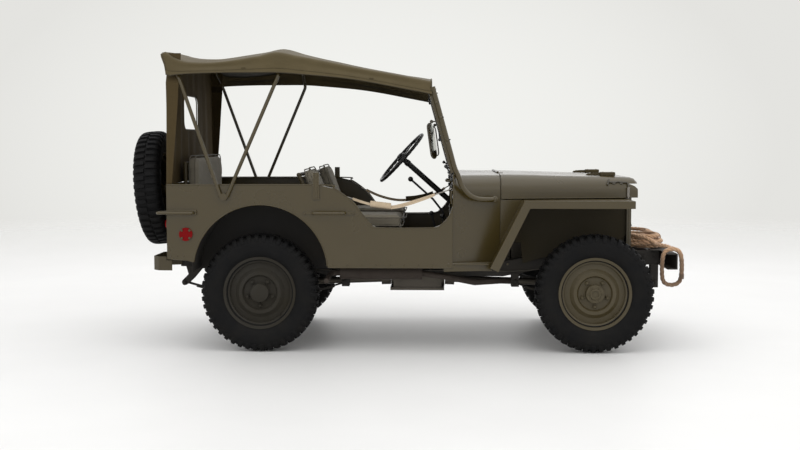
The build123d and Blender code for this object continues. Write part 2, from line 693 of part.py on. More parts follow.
def top_bows():
    """Two tube bows a side pair, from the pivots on the tub over the top."""
    px, py, pz = BOW_PIVOT
    bows = [  # shoulder X, shoulder Y, shoulder Z, corner X, corner Y, corner Z, crest Z
        (-1478, 722, 1650, -1538, 684, 1784, 1806, -6), (-886, 722, 1668, -900, 688, 1770, 1838, 6)]
    pieces = []
    for sx, sy, sz, cx, cy, cz, crest, shift in bows:
        path = [(px + shift * 3, py, pz), (sx, sy, sz), (cx, cy, cz), (cx, 0, crest),
                (cx, -cy, cz), (sx, -sy, sz), (px + shift * 3, -py, pz)]
        pieces.append(bent_bar(path, 45, 11))
    for side in (-1, 1):
        y = side * (py - 2)
        pieces.append(rod((px, side * (TUB_HALF + 0.5), pz), (px, side * (TUB_HALF + 30), pz), 22))
    return [fused(pieces)]


# ---- fittings --------------------------------------------------------------------------
def grab_handles():
    """Side and rear lifting handles, and the bow sockets on the tub sides."""
    half = TUB_HALF
    side_bar = bent_bar([(-678, half, 852), (-678, half + 33, 852), (-488, half + 33, 852),
                         (-488, half, 852)], 14, 9)
    rear_bar = bent_bar([(-1400, half, 852), (-1400, half + 33, 852),
                         (-1612, half + 33, 852), (-1612, 700, 852), (TUB_REAR, 700, 852)],
                        16, 9)
    socket = box(-678, -642, half, half + 10, 933, 1094)
    pieces = []
    for shape in (side_bar, rear_bar, socket):
        pieces += both(shape)
    return pieces


def reflectors():
    """Round red reflectors on the tub sides."""
    return both(rod((-1446, TUB_HALF, 723), (-1446, TUB_HALF + 12, 723), 40))


def safety_straps():
    """Webbing strap across each doorway."""
    y = TUB_HALF - 46
    route = [(-418, 912), (-222, 901), (120, 985)]
    pieces = []
    for (x0, z0), (x1, z1) in zip(route, route[1:]):
        band = outline([(x0, z0 - 16), (x1, z1 - 16), (x1, z1 + 16), (x0, z0 + 16)])
        pieces.append(side_prism(band, y - 4, y))
    return both(fused(pieces))


def spare_place():
    """Where the spare wheel stands, with its outer face to the rear."""
    return Pos(*SPARE) * Rot(0, -SPARE_LEAN, 0)


def spare_carrier():
    """Bracket on the rear panel that carries the spare wheel."""
    x, y, z = SPARE
    plate = box(TUB_REAR - 10, TUB_REAR, y - 130, y + 130, z - 150, z + 30)
    post = rod((TUB_REAR - 8, y, z - 20), (x - 8, y, z - 20), 44)
    face = spare_place() * rod((-6, 0, 0), (-18.5, 0, 0), 92)
    return [fused([plate, post, face])]


# ---- wheels ----------------------------------------------------------------------------
def rim(bore):
    """Pressed disc wheel about the Y axis, outer face towards +Y."""
    section = [  # radius, Y: up the outer side, then down the inner side
        (0, 60), (30, 60), (56, 54), (58, 27), (99, 27), (108, 42), (128, 44), (150, 26),
        (184, 20), (186, 34), (202, 40), (204, 57), (221, 60), (221, 54), (209, 51), (206, 34),
        (191, 28), (191, -24), (206, -32), (209, -51), (221, -54), (221, -60), (204, -57),
        (201, -36), (185, -28), (184, 13), (150, 19), (128, 37), (108, 35), (99, 20),
        (bore, 20)]
    closing = [(bore, 20), (bore, 26), (0, 26)] if bore else [(0, 20)]
    return turned_about_y(section[:-1] + closing)


def wheel(side):
    """Wheel with its brake drum, which has a blind bore for the stub axle."""
    disc = rim(0)
    drum = turned_about_y([(23, -30), (125, -30), (125, 16), (96, 20.5), (0, 20.5), (0, 18),
                           (23, 18)])
    whole = disc + drum
    return whole if side > 0 else mirrored(whole)


def tyre():
    """Tyre about the Y axis, with its bead seats just clear of the rim."""
    half = [(210, 50), (222.5, 53), (224, 62), (250, 74), (285, TYRE_HALF), (330, 78), (350, 70),
            (TYRE_R, 56)]
    whole = half + [(r, -y) for r, y in reversed(half)]
    return turned_about_y(whole)


def wheel_places():
    """Name, X and side of each road wheel."""
    return [("front_left", AXLE_X, 1), ("front_right", AXLE_X, -1),
            ("rear_left", -AXLE_X, 1), ("rear_right", -AXLE_X, -1)]


# ---- rope on the bumper ----------------------------------------------------------------
ROPE_R = 14
ROPE_TAIL = [(1430, -401.5, 640), (1434, -461, 641), (1478, -518, 637), (1483, -575.5, 631)]
LOOP_X = 1485


def rope_bundle():
    """The coiled bundle that lies across the frame ends, as its outer shape."""
    block = box(1335, 1448, -400, 400, 604, 672)
    long_edges = block.edges().filter_by(Axis.Y)
    return [fillet(long_edges, 28)]


def rope_loop():
    """The hank hung over the bumper, as its outer shape."""
    outer = Pos(LOOP_X, 520) * SlotOverall(250, 150, rotation=90)
    inner = Pos(LOOP_X, 514) * SlotOverall(206, 92, rotation=90)
    return [side_prism(outer - inner, -632, -578)]


def rope_tail():
    """The run of rope from the bundle to the hank: straight runs with large tangent arcs."""
    points = [Vector(*point) for point in ROPE_TAIL]
    radii = []
    for before, here, after in zip(points, points[1:], points[2:]):
        turn = (here - before).get_angle(after - here)
        run = min((here - before).length, (after - here).length)
        radii.append(0.45 * run / tan(radians(turn / 2)))
    print("rope bend radii", [round(radius) for radius in radii])
    path = FilletPolyline(*points, radius=radii)
    tube = sweep(Plane(origin=path @ 0, z_dir=path % 0) * Circle(ROPE_R), path=path)
    print("rope tail length", round(path.length), "volume ratio",
          round(tube.volume / (3.14159 * ROPE_R ** 2 * path.length), 4))
    return [tube]


# ---- writing the files -----------------------------------------------------------------
def write(name, solids):
    """Move a sub-part from the wheelbase's middle to the car's origin and write it."""
    whole = Compound([Pos(SHIFT_X, 0, 0) * solid for piece in solids for solid in piece.solids()])
    export_step(whole, f"parts/{name}.step")


FIXED = [frame, front_bumper, rear_bumperettes, pintle_hook, axles, leaf_springs, gearbox,
         propeller_shafts, exhaust, engine_block, radiator, fuel_tank, tub_floor, rear_floor,
         wheel_boxes,
         body_side_left, body_side_right, rear_panel, cowl, front_fenders, grille, headlamps,
         hood, hood_blocks, windscreen_frame, windscreen_glass, mirrors, steering_wheel,
         steering_column, levers_and_pedals, tie_rod, rear_seat_frame, rear_seat_cushions,
         roof_canvas_front, roof_canvas_rear, rear_curtain, top_bows, grab_handles, reflectors,
         safety_straps, spare_carrier, rope_bundle, rope_loop, rope_tail]


def main():
    os.makedirs("parts", exist_ok=True)
    for make in FIXED:
        write(make.__name__, make())
    for name, sizes in (("driver_seat", DRIVER), ("passenger_seat", PASSENGER)):
        write(name + "_frame", [seat_frame(*sizes)])
        write(name + "_cushions", seat_cushions(*sizes))
    for name, side in (("left", 1), ("right", -1)):
        write("steering_knuckle_" + name, knuckle(side))
    for name, x, side in wheel_places():
        place = Pos(x, side * TRACK / 2, WHEEL_Z)
        write("wheel_" + name, [place * wheel(side)])
        write("tyre_" + name, [place * tyre()])
    spare = spare_place() * Rot(0, 0, 90)
    write("spare_wheel", [spare * rim(0)])
    write("spare_tyre", [spare * tyre()])


main()
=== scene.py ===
"""Army 4x4 car: finishes, tyres, cloth, rope and fittings around the car's construction frame.

Laid out as an add-on and run as a script: settings, one operator for each group of pieces, a panel.
Laid out as an add-on and run as a script: settings, one operator for each group of pieces, a panel.
at() turns such a place into the frame's metres.
"""

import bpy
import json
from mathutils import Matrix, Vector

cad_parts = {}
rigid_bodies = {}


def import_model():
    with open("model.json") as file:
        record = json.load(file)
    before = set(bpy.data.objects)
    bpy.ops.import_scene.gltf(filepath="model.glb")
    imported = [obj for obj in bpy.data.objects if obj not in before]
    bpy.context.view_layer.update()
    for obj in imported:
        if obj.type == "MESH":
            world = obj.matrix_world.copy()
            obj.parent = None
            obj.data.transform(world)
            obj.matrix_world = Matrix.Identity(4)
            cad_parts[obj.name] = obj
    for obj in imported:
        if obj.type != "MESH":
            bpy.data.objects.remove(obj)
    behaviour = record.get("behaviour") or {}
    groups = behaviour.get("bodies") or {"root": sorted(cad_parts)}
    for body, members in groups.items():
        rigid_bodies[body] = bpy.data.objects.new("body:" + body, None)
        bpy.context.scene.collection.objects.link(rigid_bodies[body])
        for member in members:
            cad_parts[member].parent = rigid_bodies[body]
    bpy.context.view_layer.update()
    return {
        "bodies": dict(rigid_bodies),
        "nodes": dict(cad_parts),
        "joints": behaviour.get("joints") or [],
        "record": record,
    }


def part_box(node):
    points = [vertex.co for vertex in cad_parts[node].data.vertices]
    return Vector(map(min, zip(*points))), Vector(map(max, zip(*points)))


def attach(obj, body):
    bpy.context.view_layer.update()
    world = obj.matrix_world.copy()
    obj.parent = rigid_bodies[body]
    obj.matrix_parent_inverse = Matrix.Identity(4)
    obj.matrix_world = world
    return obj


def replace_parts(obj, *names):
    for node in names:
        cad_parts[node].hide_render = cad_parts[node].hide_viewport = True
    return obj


bl_info = {
    "name": "Army 4x4 car",
    "version": (1, 0, 0),
    "blender": (4, 5, 0),
    "location": "View3D > Sidebar > Field Car",
    "description": "Builds the visible finish of an open army 4x4 car",
    "category": "Object",
}

import json
import math

import bmesh
import bpy
from bpy.props import FloatProperty, FloatVectorProperty, IntProperty, PointerProperty
from mathutils import Matrix, Vector, noise

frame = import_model()
NODES = frame["nodes"]
MM = 0.001


def middle(node):
    """Centre of a node's box, in metres."""
    low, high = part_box(node)
    return (Vector(low) + Vector(high)) / 2


BASE_X = (middle("tyre_rear_left").x + middle("tyre_front_left").x) / 2


def at(x, y, z):
    """A place in millimetres from the middle of the wheelbase, as a place in the frame."""
    return Vector((BASE_X + x * MM, y * MM, z * MM))


# ---- settings --------------------------------------------------------------------------
def colour(name, default, about):
    return FloatVectorProperty(name=name, description=about, default=default, size=3, min=0, max=1,
                               subtype="COLOR")


class CarFinish(bpy.types.PropertyGroup):
    """Colours of the car's finishes."""
    olive: colour("Body paint", (0.041, 0.028, 0.004), "Olive drab on body, wings and hood")
    wheel_olive: colour("Wheel paint", (0.042, 0.030, 0.007), "Olive drab on the wheels")
    # dark olive, made darker still as painted shade under the body
    chassis: colour("Chassis paint", (0.009, 0.007, 0.005), "Dark olive under the body")
    canvas: colour("Top canvas", (0.074, 0.057, 0.027), "Khaki canvas of the top")
    seat: colour("Seat canvas", (0.185, 0.165, 0.125), "Grey olive duck on the seats")
    rubber: colour("Tyre rubber", (0.0035, 0.0035, 0.0038), "Tyre rubber")
    rope: colour("Rope", (0.400, 0.245, 0.140), "Natural fibre rope")
    webbing: colour("Webbing", (0.500, 0.400, 0.280), "Cream cotton webbing")
    dust: colour("Road dust", (0.090, 0.074, 0.048), "Dust that settles low down")


class CarSizes(bpy.types.PropertyGroup):
    """Sizes of repeated detail."""
    tread_blocks: IntProperty(name="Tread bars", description="Bars round one side of a tyre",
                              default=46, min=20, max=80)
    strand_twist: FloatProperty(name="Rope lay", description="Length of one turn of a strand",
                                default=0.085, min=0.03, max=0.2, unit="LENGTH")
    canvas_sag: FloatProperty(name="Canvas sag", description="Dip of the cloth between bows",
                              default=0.016, min=0.0, max=0.05, unit="LENGTH")
    bolt_head: FloatProperty(name="Bolt head", description="Width of a body bolt's head",
                             default=0.013, min=0.006, max=0.03, unit="LENGTH")


def finish_of():
    return bpy.context.scene.car_finish


def sizes_of():
    return bpy.context.scene.car_sizes


# ---- node trees ------------------------------------------------------------------------
class Tree:
    """Adds nodes and links to one node tree."""

    def __init__(self, tree):
        self.tree = tree

    def add(self, kind, sockets=None, **settings):
        node = self.tree.nodes.new(kind)
        for name, value in settings.items():
            setattr(node, name, value)
        for name, value in (sockets or {}).items():
            self.feed(node.inputs[name], value)
        return node

    def feed(self, socket, value):
        if isinstance(value, bpy.types.NodeSocket):
            self.tree.links.new(value, socket)
        elif hasattr(value, "__len__") and len(value) == 3 and socket.type == "RGBA":
            socket.default_value = (*value, 1)
        else:
            socket.default_value = value

    def math(self, operation, first, second=0.5, third=0.5, clamp=False):
        node = self.add("ShaderNodeMath", {0: first, 1: second, 2: third}, operation=operation,
                        use_clamp=clamp)
        return node.outputs[0]

    def noise(self, coordinates, scale, detail=4.0, rough=0.55, kind="Fac"):
        node = self.add("ShaderNodeTexNoise", {"Vector": coordinates, "Scale": scale,
                                               "Detail": detail, "Roughness": rough})
        return node.outputs[kind]

    def span(self, value, low, high, out_low=0.0, out_high=1.0):
        node = self.add("ShaderNodeMapRange", {"Value": value, "From Min": low, "From Max": high,
                                               "To Min": out_low, "To Max": out_high})
        return node.outputs[0]

    def mix(self, factor, first, second, blend="MIX"):
        node = self.add("ShaderNodeMix", data_type="RGBA", blend_type=blend)
        for index, value in ((0, factor), (6, first), (7, second)):
            self.feed(node.inputs[index], value)
        return node.outputs[2]

    def bump(self, height, strength, distance, normal=None):
        node = self.add("ShaderNodeBump", {"Height": height, "Strength": strength,
                                           "Distance": distance})
        if normal is not None:
            self.feed(node.inputs["Normal"], normal)
        return node.outputs[0]


def effect(name, inputs, outputs):
    """A new shared shader group with float inputs and the listed outputs."""
    group = bpy.data.node_groups.new(name, "ShaderNodeTree")
    for label, default in inputs:
        kind = "NodeSocketVector" if default is None else "NodeSocketFloat"
        socket = group.interface.new_socket(label, in_out="INPUT", socket_type=kind)
        if default is not None:
            socket.default_value = default
    for label, kind in outputs:
        group.interface.new_socket(label, in_out="OUTPUT", socket_type="NodeSocket" + kind)
    tree = Tree(group)
    start = group.nodes.new("NodeGroupInput")
    end = group.nodes.new("NodeGroupOutput")
    return tree, start.outputs, end.inputs


def make_edge_wear():
    """Mask of sharp edges, broken up so that it looks rubbed."""
    tree, given, out = effect("edge_wear", [("Place", None), ("Width", 0.004), ("Scale", 30.0)],
                              [("Mask", "Float"), ("Round", "Vector")])
    bevel = tree.add("ShaderNodeBevel", {"Radius": given["Width"]}, samples=4)
    plain = tree.add("ShaderNodeNewGeometry").outputs["Normal"]
    dot = tree.add("ShaderNodeVectorMath", {0: bevel.outputs[0], 1: plain}, operation="DOT_PRODUCT")
    bend = tree.span(dot.outputs["Value"], 0.995, 0.86)
    broken = tree.span(tree.noise(given["Place"], given["Scale"], 6.0), 0.46, 0.66)
    tree.feed(out["Mask"], tree.math("MULTIPLY", bend, broken, clamp=True))
    tree.feed(out["Round"], bevel.outputs[0])


def make_settled_dust():
    """Dust that lies on upward faces and thickens towards the ground."""
    tree, given, out = effect("settled_dust", [("Place", None), ("Height", 0.75), ("Scale", 5.0)],
                              [("Mask", "Float")])
    z = tree.add("ShaderNodeSeparateXYZ", {0: given["Place"]}).outputs["Z"]
    low = tree.math("DIVIDE", z, given["Height"])
    low = tree.math("SUBTRACT", 1.0, low, clamp=True)
    patch = tree.span(tree.noise(given["Place"], given["Scale"], 7.0, 0.62), 0.38, 0.72)
    normal = tree.add("ShaderNodeNewGeometry").outputs["Normal"]
    up = tree.add("ShaderNodeSeparateXYZ", {0: normal}).outputs["Z"]
    up = tree.span(up, 0.2, 1.0, 0.0, 0.35)
    total = tree.math("ADD", tree.math("MULTIPLY", low, 0.85), up)
    tree.feed(out["Mask"], tree.math("MULTIPLY", total, patch, clamp=True))


def make_cloudy():
    """Slow and fast variation of tone, centred on zero."""
    tree, given, out = effect("cloudy", [("Place", None), ("Scale", 3.0)],
                              [("Tone", "Float"), ("Grain", "Float")])
    slow = tree.noise(given["Place"], given["Scale"], 5.0)
    fast = tree.noise(given["Place"], tree.math("MULTIPLY", given["Scale"], 60.0), 3.0)
    tree.feed(out["Tone"], tree.math("SUBTRACT", slow, 0.5))
    tree.feed(out["Grain"], fast)


def make_weave():
    """Plain weave: height and thread tone over a surface, from object places."""
    tree, given, out = effect("weave", [("Place", None), ("Threads", 900.0)],
                              [("Height", "Float"), ("Tone", "Float")])
    axes = tree.add("ShaderNodeSeparateXYZ", {0: given["Place"]}).outputs
    across = tree.math("ADD", axes["X"], tree.math("MULTIPLY", axes["Z"], 0.83))
    along = tree.math("ADD", axes["Y"], tree.math("MULTIPLY", axes["Z"], 0.55))
    warp = tree.math("SINE", tree.math("MULTIPLY", across, given["Threads"]))
    weft = tree.math("SINE", tree.math("MULTIPLY", along, given["Threads"]))
    tree.feed(out["Height"], tree.math("ADD", tree.math("MULTIPLY", warp, weft), 0.0))
    stretched = tree.add("ShaderNodeCombineXYZ", {0: tree.math("MULTIPLY", across, 6.0),
                                                  1: tree.math("MULTIPLY", along, 220.0)})
    slub = tree.noise(stretched.outputs[0], 3.0, 4.0)
    tree.feed(out["Tone"], tree.math("SUBTRACT", slub, 0.5))


EFFECTS = {"edge_wear": make_edge_wear, "settled_dust": make_settled_dust, "cloudy": make_cloudy,
           "weave": make_weave}


class Material:
    """A material with a Principled shader and the shared effects."""

    def __init__(self, name, **sockets):
        self.data = bpy.data.materials.new(name)
        self.data.use_nodes = True
        self.tree = Tree(self.data.node_tree)
        self.shader = self.data.node_tree.nodes["Principled BSDF"]
        self.place = self.tree.add("ShaderNodeTexCoord").outputs["Object"]
        for socket, value in sockets.items():
            self.tree.feed(self.shader.inputs[socket.replace("_", " ")], value)

    def effect(self, name, **values):
        """Place a shared effect; returns its outputs."""
        if name not in bpy.data.node_groups:
            EFFECTS[name]()
        node = self.tree.add("ShaderNodeGroup", node_tree=bpy.data.node_groups[name])
        self.tree.feed(node.inputs["Place"], self.place)
        for label, value in values.items():
            self.tree.feed(node.inputs[label], value)
        return node.outputs

    def paint(self, **values):
        for socket, value in values.items():
            self.tree.feed(self.shader.inputs[socket.replace("_", " ")], value)
        return self.data


def shade(rgb, factor):
    """A colour made lighter or darker."""
    return tuple(min(1.0, part * factor) for part in rgb)


def painted_steel(name, base, rough=0.5, wear=0.5, dust=0.55, dust_height=0.75, tone=0.35, coat=0.0):
    """Olive paint on sheet steel: soft tone changes, rubbed edges, settled dust, fine orange peel."""
    made = Material(name, Specular_IOR_Level=0.5, Coat_Weight=coat, Coat_Roughness=0.22)
    tree = made.tree
    cloudy = made.effect("cloudy", Scale=2.6)
    worn = made.effect("edge_wear", Width=0.0028, Scale=26.0)
    dusty = made.effect("settled_dust", Height=dust_height)
    lighter = tree.math("MULTIPLY_ADD", cloudy["Tone"], tone * 2, 0.5, clamp=True)
    skin = tree.mix(lighter, shade(base, 0.86), shade(base, 1.15))
    rubbed = tree.mix(tree.math("MULTIPLY", worn["Mask"], wear), skin, shade(base, 2.1))
    dusted = tree.mix(tree.math("MULTIPLY", dusty["Mask"], dust), rubbed, tuple(finish_of().dust))
    gloss = tree.math("MULTIPLY_ADD", cloudy["Tone"], 0.22, rough)
    gloss = tree.math("MULTIPLY_ADD", dusty["Mask"], 0.3, gloss, clamp=True)
    ripple = tree.noise(made.place, 7.0, 2.0)
    peel = tree.bump(cloudy["Grain"], 0.12, 0.0006, worn["Round"])
    return made.paint(Base_Color=dusted, Roughness=gloss, Normal=tree.bump(ripple, 0.12, 0.004, peel))


def canvas_cloth(name, base, threads, bump=0.3, fade=1.35, sheen=0.12, dust=0.2):
    """Cotton duck: weave, slubs, faded folds, a soft sheen, and painted shade on faces turned downward."""
    made = Material(name, Roughness=0.92, Sheen_Weight=sheen, Sheen_Roughness=0.55,
                    Specular_IOR_Level=0.15)
    tree = made.tree
    weave = made.effect("weave", Threads=threads)
    cloudy = made.effect("cloudy", Scale=4.5)
    dusty = made.effect("settled_dust", Height=1.1, Scale=8.0)
    tone = tree.math("MULTIPLY_ADD", weave["Tone"], 0.9, 0.5, clamp=True)
    cloth = tree.mix(tone, shade(base, 0.8), shade(base, 1.22))
    faded = tree.span(cloudy["Tone"], -0.05, 0.22)
    cloth = tree.mix(tree.math("MULTIPLY", faded, 0.55), cloth, shade(base, fade))
    cloth = tree.mix(tree.math("MULTIPLY", dusty["Mask"], dust), cloth, tuple(finish_of().dust))
    # painted shade: faces turned downward darken towards 0.3 of the cloth's colour
    normal = tree.add("ShaderNodeNewGeometry").outputs["Normal"]
    facing = tree.add("ShaderNodeSeparateXYZ", {0: normal}).outputs["Z"]
    cloth = tree.mix(tree.span(facing, -0.25, -0.6), cloth, shade(base, 0.3))
    thread = tree.bump(weave["Height"], bump, 0.0005)
    crease = tree.noise(made.place, 38.0, 5.0)
    return made.paint(Base_Color=cloth, Normal=tree.bump(crease, 0.16, 0.0025, thread))


def tyre_rubber(name, rubber):
    """Old black rubber: dull, finely grained, dusty in the tread and on the side wall."""
    made = Material(name, Roughness=0.7, Specular_IOR_Level=0.14)
    tree = made.tree
    cloudy = made.effect("cloudy", Scale=9.0)
    dusty = made.effect("settled_dust", Height=1.4, Scale=11.0)
    worn = made.effect("edge_wear", Width=0.003, Scale=40.0)
    skin = tree.mix(tree.math("MULTIPLY_ADD", cloudy["Tone"], 1.2, 0.5, clamp=True),
                    shade(rubber, 0.75), shade(rubber, 1.5))
    skin = tree.mix(tree.math("MULTIPLY", worn["Mask"], 0.35), skin, (0.04, 0.039, 0.037))
    skin = tree.mix(tree.math("MULTIPLY", dusty["Mask"], 0.06), skin, tuple(finish_of().dust))
    grain = tree.bump(cloudy["Grain"], 0.35, 0.0008)
    return made.paint(Base_Color=skin, Normal=grain)


def fibre_rope(name, fibre):
    """Natural fibre: pale and dark hairs along the strands; painted light on the rope higher up and painted
    shade lower down.
    """
    made = Material(name, Roughness=0.95, Sheen_Weight=0.3, Sheen_Roughness=0.6,
                    Specular_IOR_Level=0.15)
    tree = made.tree
    # painted light and shade: the rope is lighter (1.62) above 0.63 in object height and darker (0.66) below
    # 0.56
    height = tree.add("ShaderNodeSeparateXYZ", {0: made.place}).outputs["Z"]
    base = tree.mix(tree.span(height, 0.56, 0.63), shade(fibre, 0.66),
                    shade(fibre, 1.62))
    hair = tree.noise(made.place, 420.0, 3.0, 0.7)
    cloudy = made.effect("cloudy", Scale=14.0)
    tone = tree.mix(tree.span(hair, 0.3, 0.7), (0.5, 0.5, 0.5), (1.0, 1.0, 1.0))
    tone = tree.mix(tree.span(cloudy["Tone"], -0.1, 0.25), tone, (0.6, 0.6, 0.6))
    cloth = tree.mix(1.0, base, tone, "MULTIPLY")
    return made.paint(Base_Color=cloth, Normal=tree.bump(hair, 0.6, 0.0012))


def bare_metal(name, base, rough, grain=1.0, metallic=1.0):
    """Steel with dull patches and fine scratches."""
    made = Material(name, Metallic=metallic)
    tree = made.tree
    cloudy = made.effect("cloudy", Scale=12.0)
    rust = tree.span(cloudy["Tone"], 0.08, 0.3)
    skin = tree.mix(tree.math("MULTIPLY", rust, 0.5 * grain), base, shade(base, 0.5))
    gloss = tree.math("MULTIPLY_ADD", cloudy["Tone"], 0.35 * grain, rough, clamp=True)
    return made.paint(Base_Color=skin, Roughness=gloss,
                      Normal=tree.bump(cloudy["Grain"], 0.08 * grain, 0.0005))


def clear_glass(name, base):
    """Flat window glass with faint dust at its edges."""
    made = Material(name, Transmission_Weight=1.0, IOR=1.45, Base_Color=base)
    tree = made.tree
    cloudy = made.effect("cloudy", Scale=6.0)
    film = tree.span(cloudy["Tone"], 0.0, 0.3, 0.0, 0.12)
    return made.paint(Roughness=film)


def smooth_plastic(name, base, rough, coat=0.0):
    """Hard rubber, lens or enamel with handling marks."""
    made = Material(name, Coat_Weight=coat, Coat_Roughness=0.15)
    tree = made.tree
    cloudy = made.effect("cloudy", Scale=20.0)
    skin = tree.mix(tree.math("MULTIPLY_ADD", cloudy["Tone"], 1.0, 0.5, clamp=True),
                    shade(base, 0.82), shade(base, 1.18))
    gloss = tree.math("MULTIPLY_ADD", cloudy["Tone"], 0.3, rough, clamp=True)
    return made.paint(Base_Color=skin, Roughness=gloss,
                      Normal=tree.bump(cloudy["Grain"], 0.06, 0.0004))


def ribbed_lens(name, base, spacing, transmission, coat=1.0):
    """Lens with moulded ribs behind a clear face."""
    made = Material(name, Transmission_Weight=transmission, IOR=1.45, Coat_Weight=coat,
                    Coat_Roughness=0.05, Specular_IOR_Level=0.5 * coat)
    tree = made.tree
    axes = tree.add("ShaderNodeSeparateXYZ", {0: made.place}).outputs
    ribs = tree.math("SINE", tree.math("MULTIPLY", axes["Y"], 2 * math.pi / spacing))
    cross = tree.math("SINE", tree.math("MULTIPLY", axes["Z"], 2 * math.pi / (spacing * 1.7)))
    tone = tree.mix(tree.span(ribs, -1.0, 1.0), shade(base, 0.8), shade(base, 1.2))
    height = tree.math("MULTIPLY_ADD", cross, 0.4, ribs)
    return made.paint(Base_Color=tone, Roughness=tree.span(cross, -1.0, 1.0, 0.06, 0.16),
                      Normal=tree.bump(height, 0.5, 0.0015))


def tint(name, factor=1.0):
    """A colour of the car's finish, made lighter or darker."""
    return shade(getattr(finish_of(), name), factor)


# each finish: how it is made, the material's name, its colour and the other values
RECIPES = {
    "olive": (painted_steel, "olive_paint", ("olive",), 0.30, 0.5, 0.35, 0.75, 0.35, 0.16),
    # olive darkened to 0.8 for parts inside the tub and under the body: painted shade
    "olive_inside": (painted_steel, "olive_inside", ("olive", 0.8), 0.55, 0.5, 0.7, 1.0),
    "wheel_olive": (painted_steel, "wheel_paint", ("wheel_olive",), 0.5, 0.7, 0.6, 0.9),
    # the rear wheels' olive at 0.22 is painted shade, for the body's shadow over them
    "wheel_shaded": (painted_steel, "wheel_paint_dull", ("wheel_olive", 0.22), 0.75, 0.5, 0.12, 0.9),
    # near-black sheets in the rear wheel wells: painted shade
    "underseal": (painted_steel, "underseal", ("chassis", 0.7), 0.8, 0.0, 0.5, 0.9),
    # olive at 0.4 on sheets inside the front wings: painted shade
    "lining": (painted_steel, "wing_lining", ("olive", 0.4), 0.85, 0.0, 0.2, 0.9),
    # the chassis paint's dark colour is partly painted shade under the body
    "chassis": (painted_steel, "chassis_paint", ("chassis",), 0.7, 0.35, 0.45, 0.9, 0.6),
    "wood": (painted_steel, "painted_wood", ("olive", 0.9), 0.75, 1.0, 0.4, 1.0, 0.9),
    # the curtain's canvas, darker than the roof's, is painted shade under the roof
    "curtain": (canvas_cloth, "curtain_canvas", (0.055, 0.039, 0.017), 1900.0, 0.25, 1.35, 0.0, 0.05),
    "canvas": (canvas_cloth, "top_canvas", ("canvas",), 1900.0, 0.25),
    "canvas_dark": (canvas_cloth, "canvas_hem", ("canvas", 0.72), 1900.0, 0.25),
    "seat": (canvas_cloth, "seat_canvas", ("seat",), 1700.0, 0.3, 1.2),
    "seat_piping": (canvas_cloth, "seat_piping", ("seat", 0.6), 1700.0, 0.3, 1.2),
    "webbing": (canvas_cloth, "cream_webbing", ("webbing",), 2600.0, 0.5, 1.15),
    "olive_webbing": (canvas_cloth, "olive_webbing", ("canvas", 1.1), 2600.0, 0.5, 1.2),
    "rubber": (tyre_rubber, "tyre_rubber", ("rubber",)),
    "rope": (fibre_rope, "fibre_rope", ("rope",)),
    "rope_twine": (fibre_rope, "rope_twine", ("rope", 0.6)),
    "steel": (bare_metal, "bare_steel", (0.30, 0.28, 0.25), 0.42),
    "grimy_steel": (bare_metal, "grimy_steel", (0.075, 0.068, 0.055), 0.55, 1.0, 0.6),
    "bright": (bare_metal, "bright_metal", (0.72, 0.71, 0.68), 0.16, 0.4),
    "oily": (bare_metal, "oily_steel", (0.085, 0.075, 0.06), 0.5, 1.0, 0.7),
    "rusty": (bare_metal, "burnt_steel", (0.05, 0.038, 0.03), 0.75, 1.2, 0.35),
    "glass": (clear_glass, "window_glass", (0.93, 0.96, 0.94)),
    "black": (smooth_plastic, "black_hard_rubber", (0.012, 0.0115, 0.011), 0.45),
    "rubber_trim": (smooth_plastic, "rubber_trim", (0.03, 0.029, 0.027), 0.7),
    "dial": (smooth_plastic, "dial_face", (0.03, 0.032, 0.03), 0.5, 0.6),
    "pale_mark": (smooth_plastic, "pale_marks", (0.62, 0.6, 0.52), 0.5),
    "red_lens": (ribbed_lens, "red_lens", (0.19, 0.001, 0.002), 0.007, 0.0, 0.1),
    "clear_lens": (ribbed_lens, "clear_lens", (0.86, 0.88, 0.86), 0.009, 0.35),
}
MATERIALS = {}


def material(finish):
    """Each material is built once, when it is first asked for."""
    if finish not in MATERIALS:
        recipe, name, base, *values = RECIPES[finish]
        base = tint(*base) if isinstance(base[0], str) else base
        MATERIALS[finish] = recipe(name, base, *values)
    return MATERIALS[finish]


# ---- mesh helpers (millimetres in, metres out) -----------------------------------------
SMOOTH_ANGLE = 35.0


def arc(cx, cy, radius, angles, tall=None):
    """Places on an arc or an ellipse, at angles in degrees."""
    tall = radius if tall is None else tall
    return [(cx + radius * math.cos(math.radians(angle)), cy + tall * math.sin(math.radians(angle)))
            for angle in angles]


def turns(steps):
    """Angles in degrees of equal steps round a circle."""
    return [360 * step / steps for step in range(steps)]


def bridge(mesh, rings, closed=False, caps=True):
    """Joins rings of vertices with faces and closes the ends; a ring may be a single point."""
    for lower, upper in zip(rings, rings[1:] + (rings[:1] if closed else [])):
        steps = max(len(lower), len(upper))
        for step in range(steps):
            after = (step + 1) % steps
            corners = dict.fromkeys((lower[step % len(lower)], lower[after % len(lower)],
                                     upper[after % len(upper)], upper[step % len(upper)]))
            if len(corners) > 2:
                mesh.faces.new(corners)
    for ring in (rings[0][::-1], rings[-1]) if caps and not closed else ():
        if len(ring) > 2:
            mesh.faces.new(ring)


def linked(piece):
    bpy.context.scene.collection.objects.link(piece)
    return piece


def object_from(name, made):
    """A new unlinked object from a bmesh, which is freed."""
    bmesh.ops.recalc_face_normals(made, faces=made.faces)
    mesh = bpy.data.meshes.new(name)
    made.to_mesh(mesh)
    made.free()
    return bpy.data.objects.new(name, mesh)


def evaluated_mesh(piece):
    """A new mesh of a piece with its modifiers applied."""
    graph = bpy.context.evaluated_depsgraph_get()
    graph.update()
    return bpy.data.meshes.new_from_object(piece.evaluated_get(graph))


def settle_modifiers(piece):
    """Replaces a piece's mesh with the one its modifiers make."""
    made = evaluated_mesh(piece)
    piece.modifiers.clear()
    piece.data = made


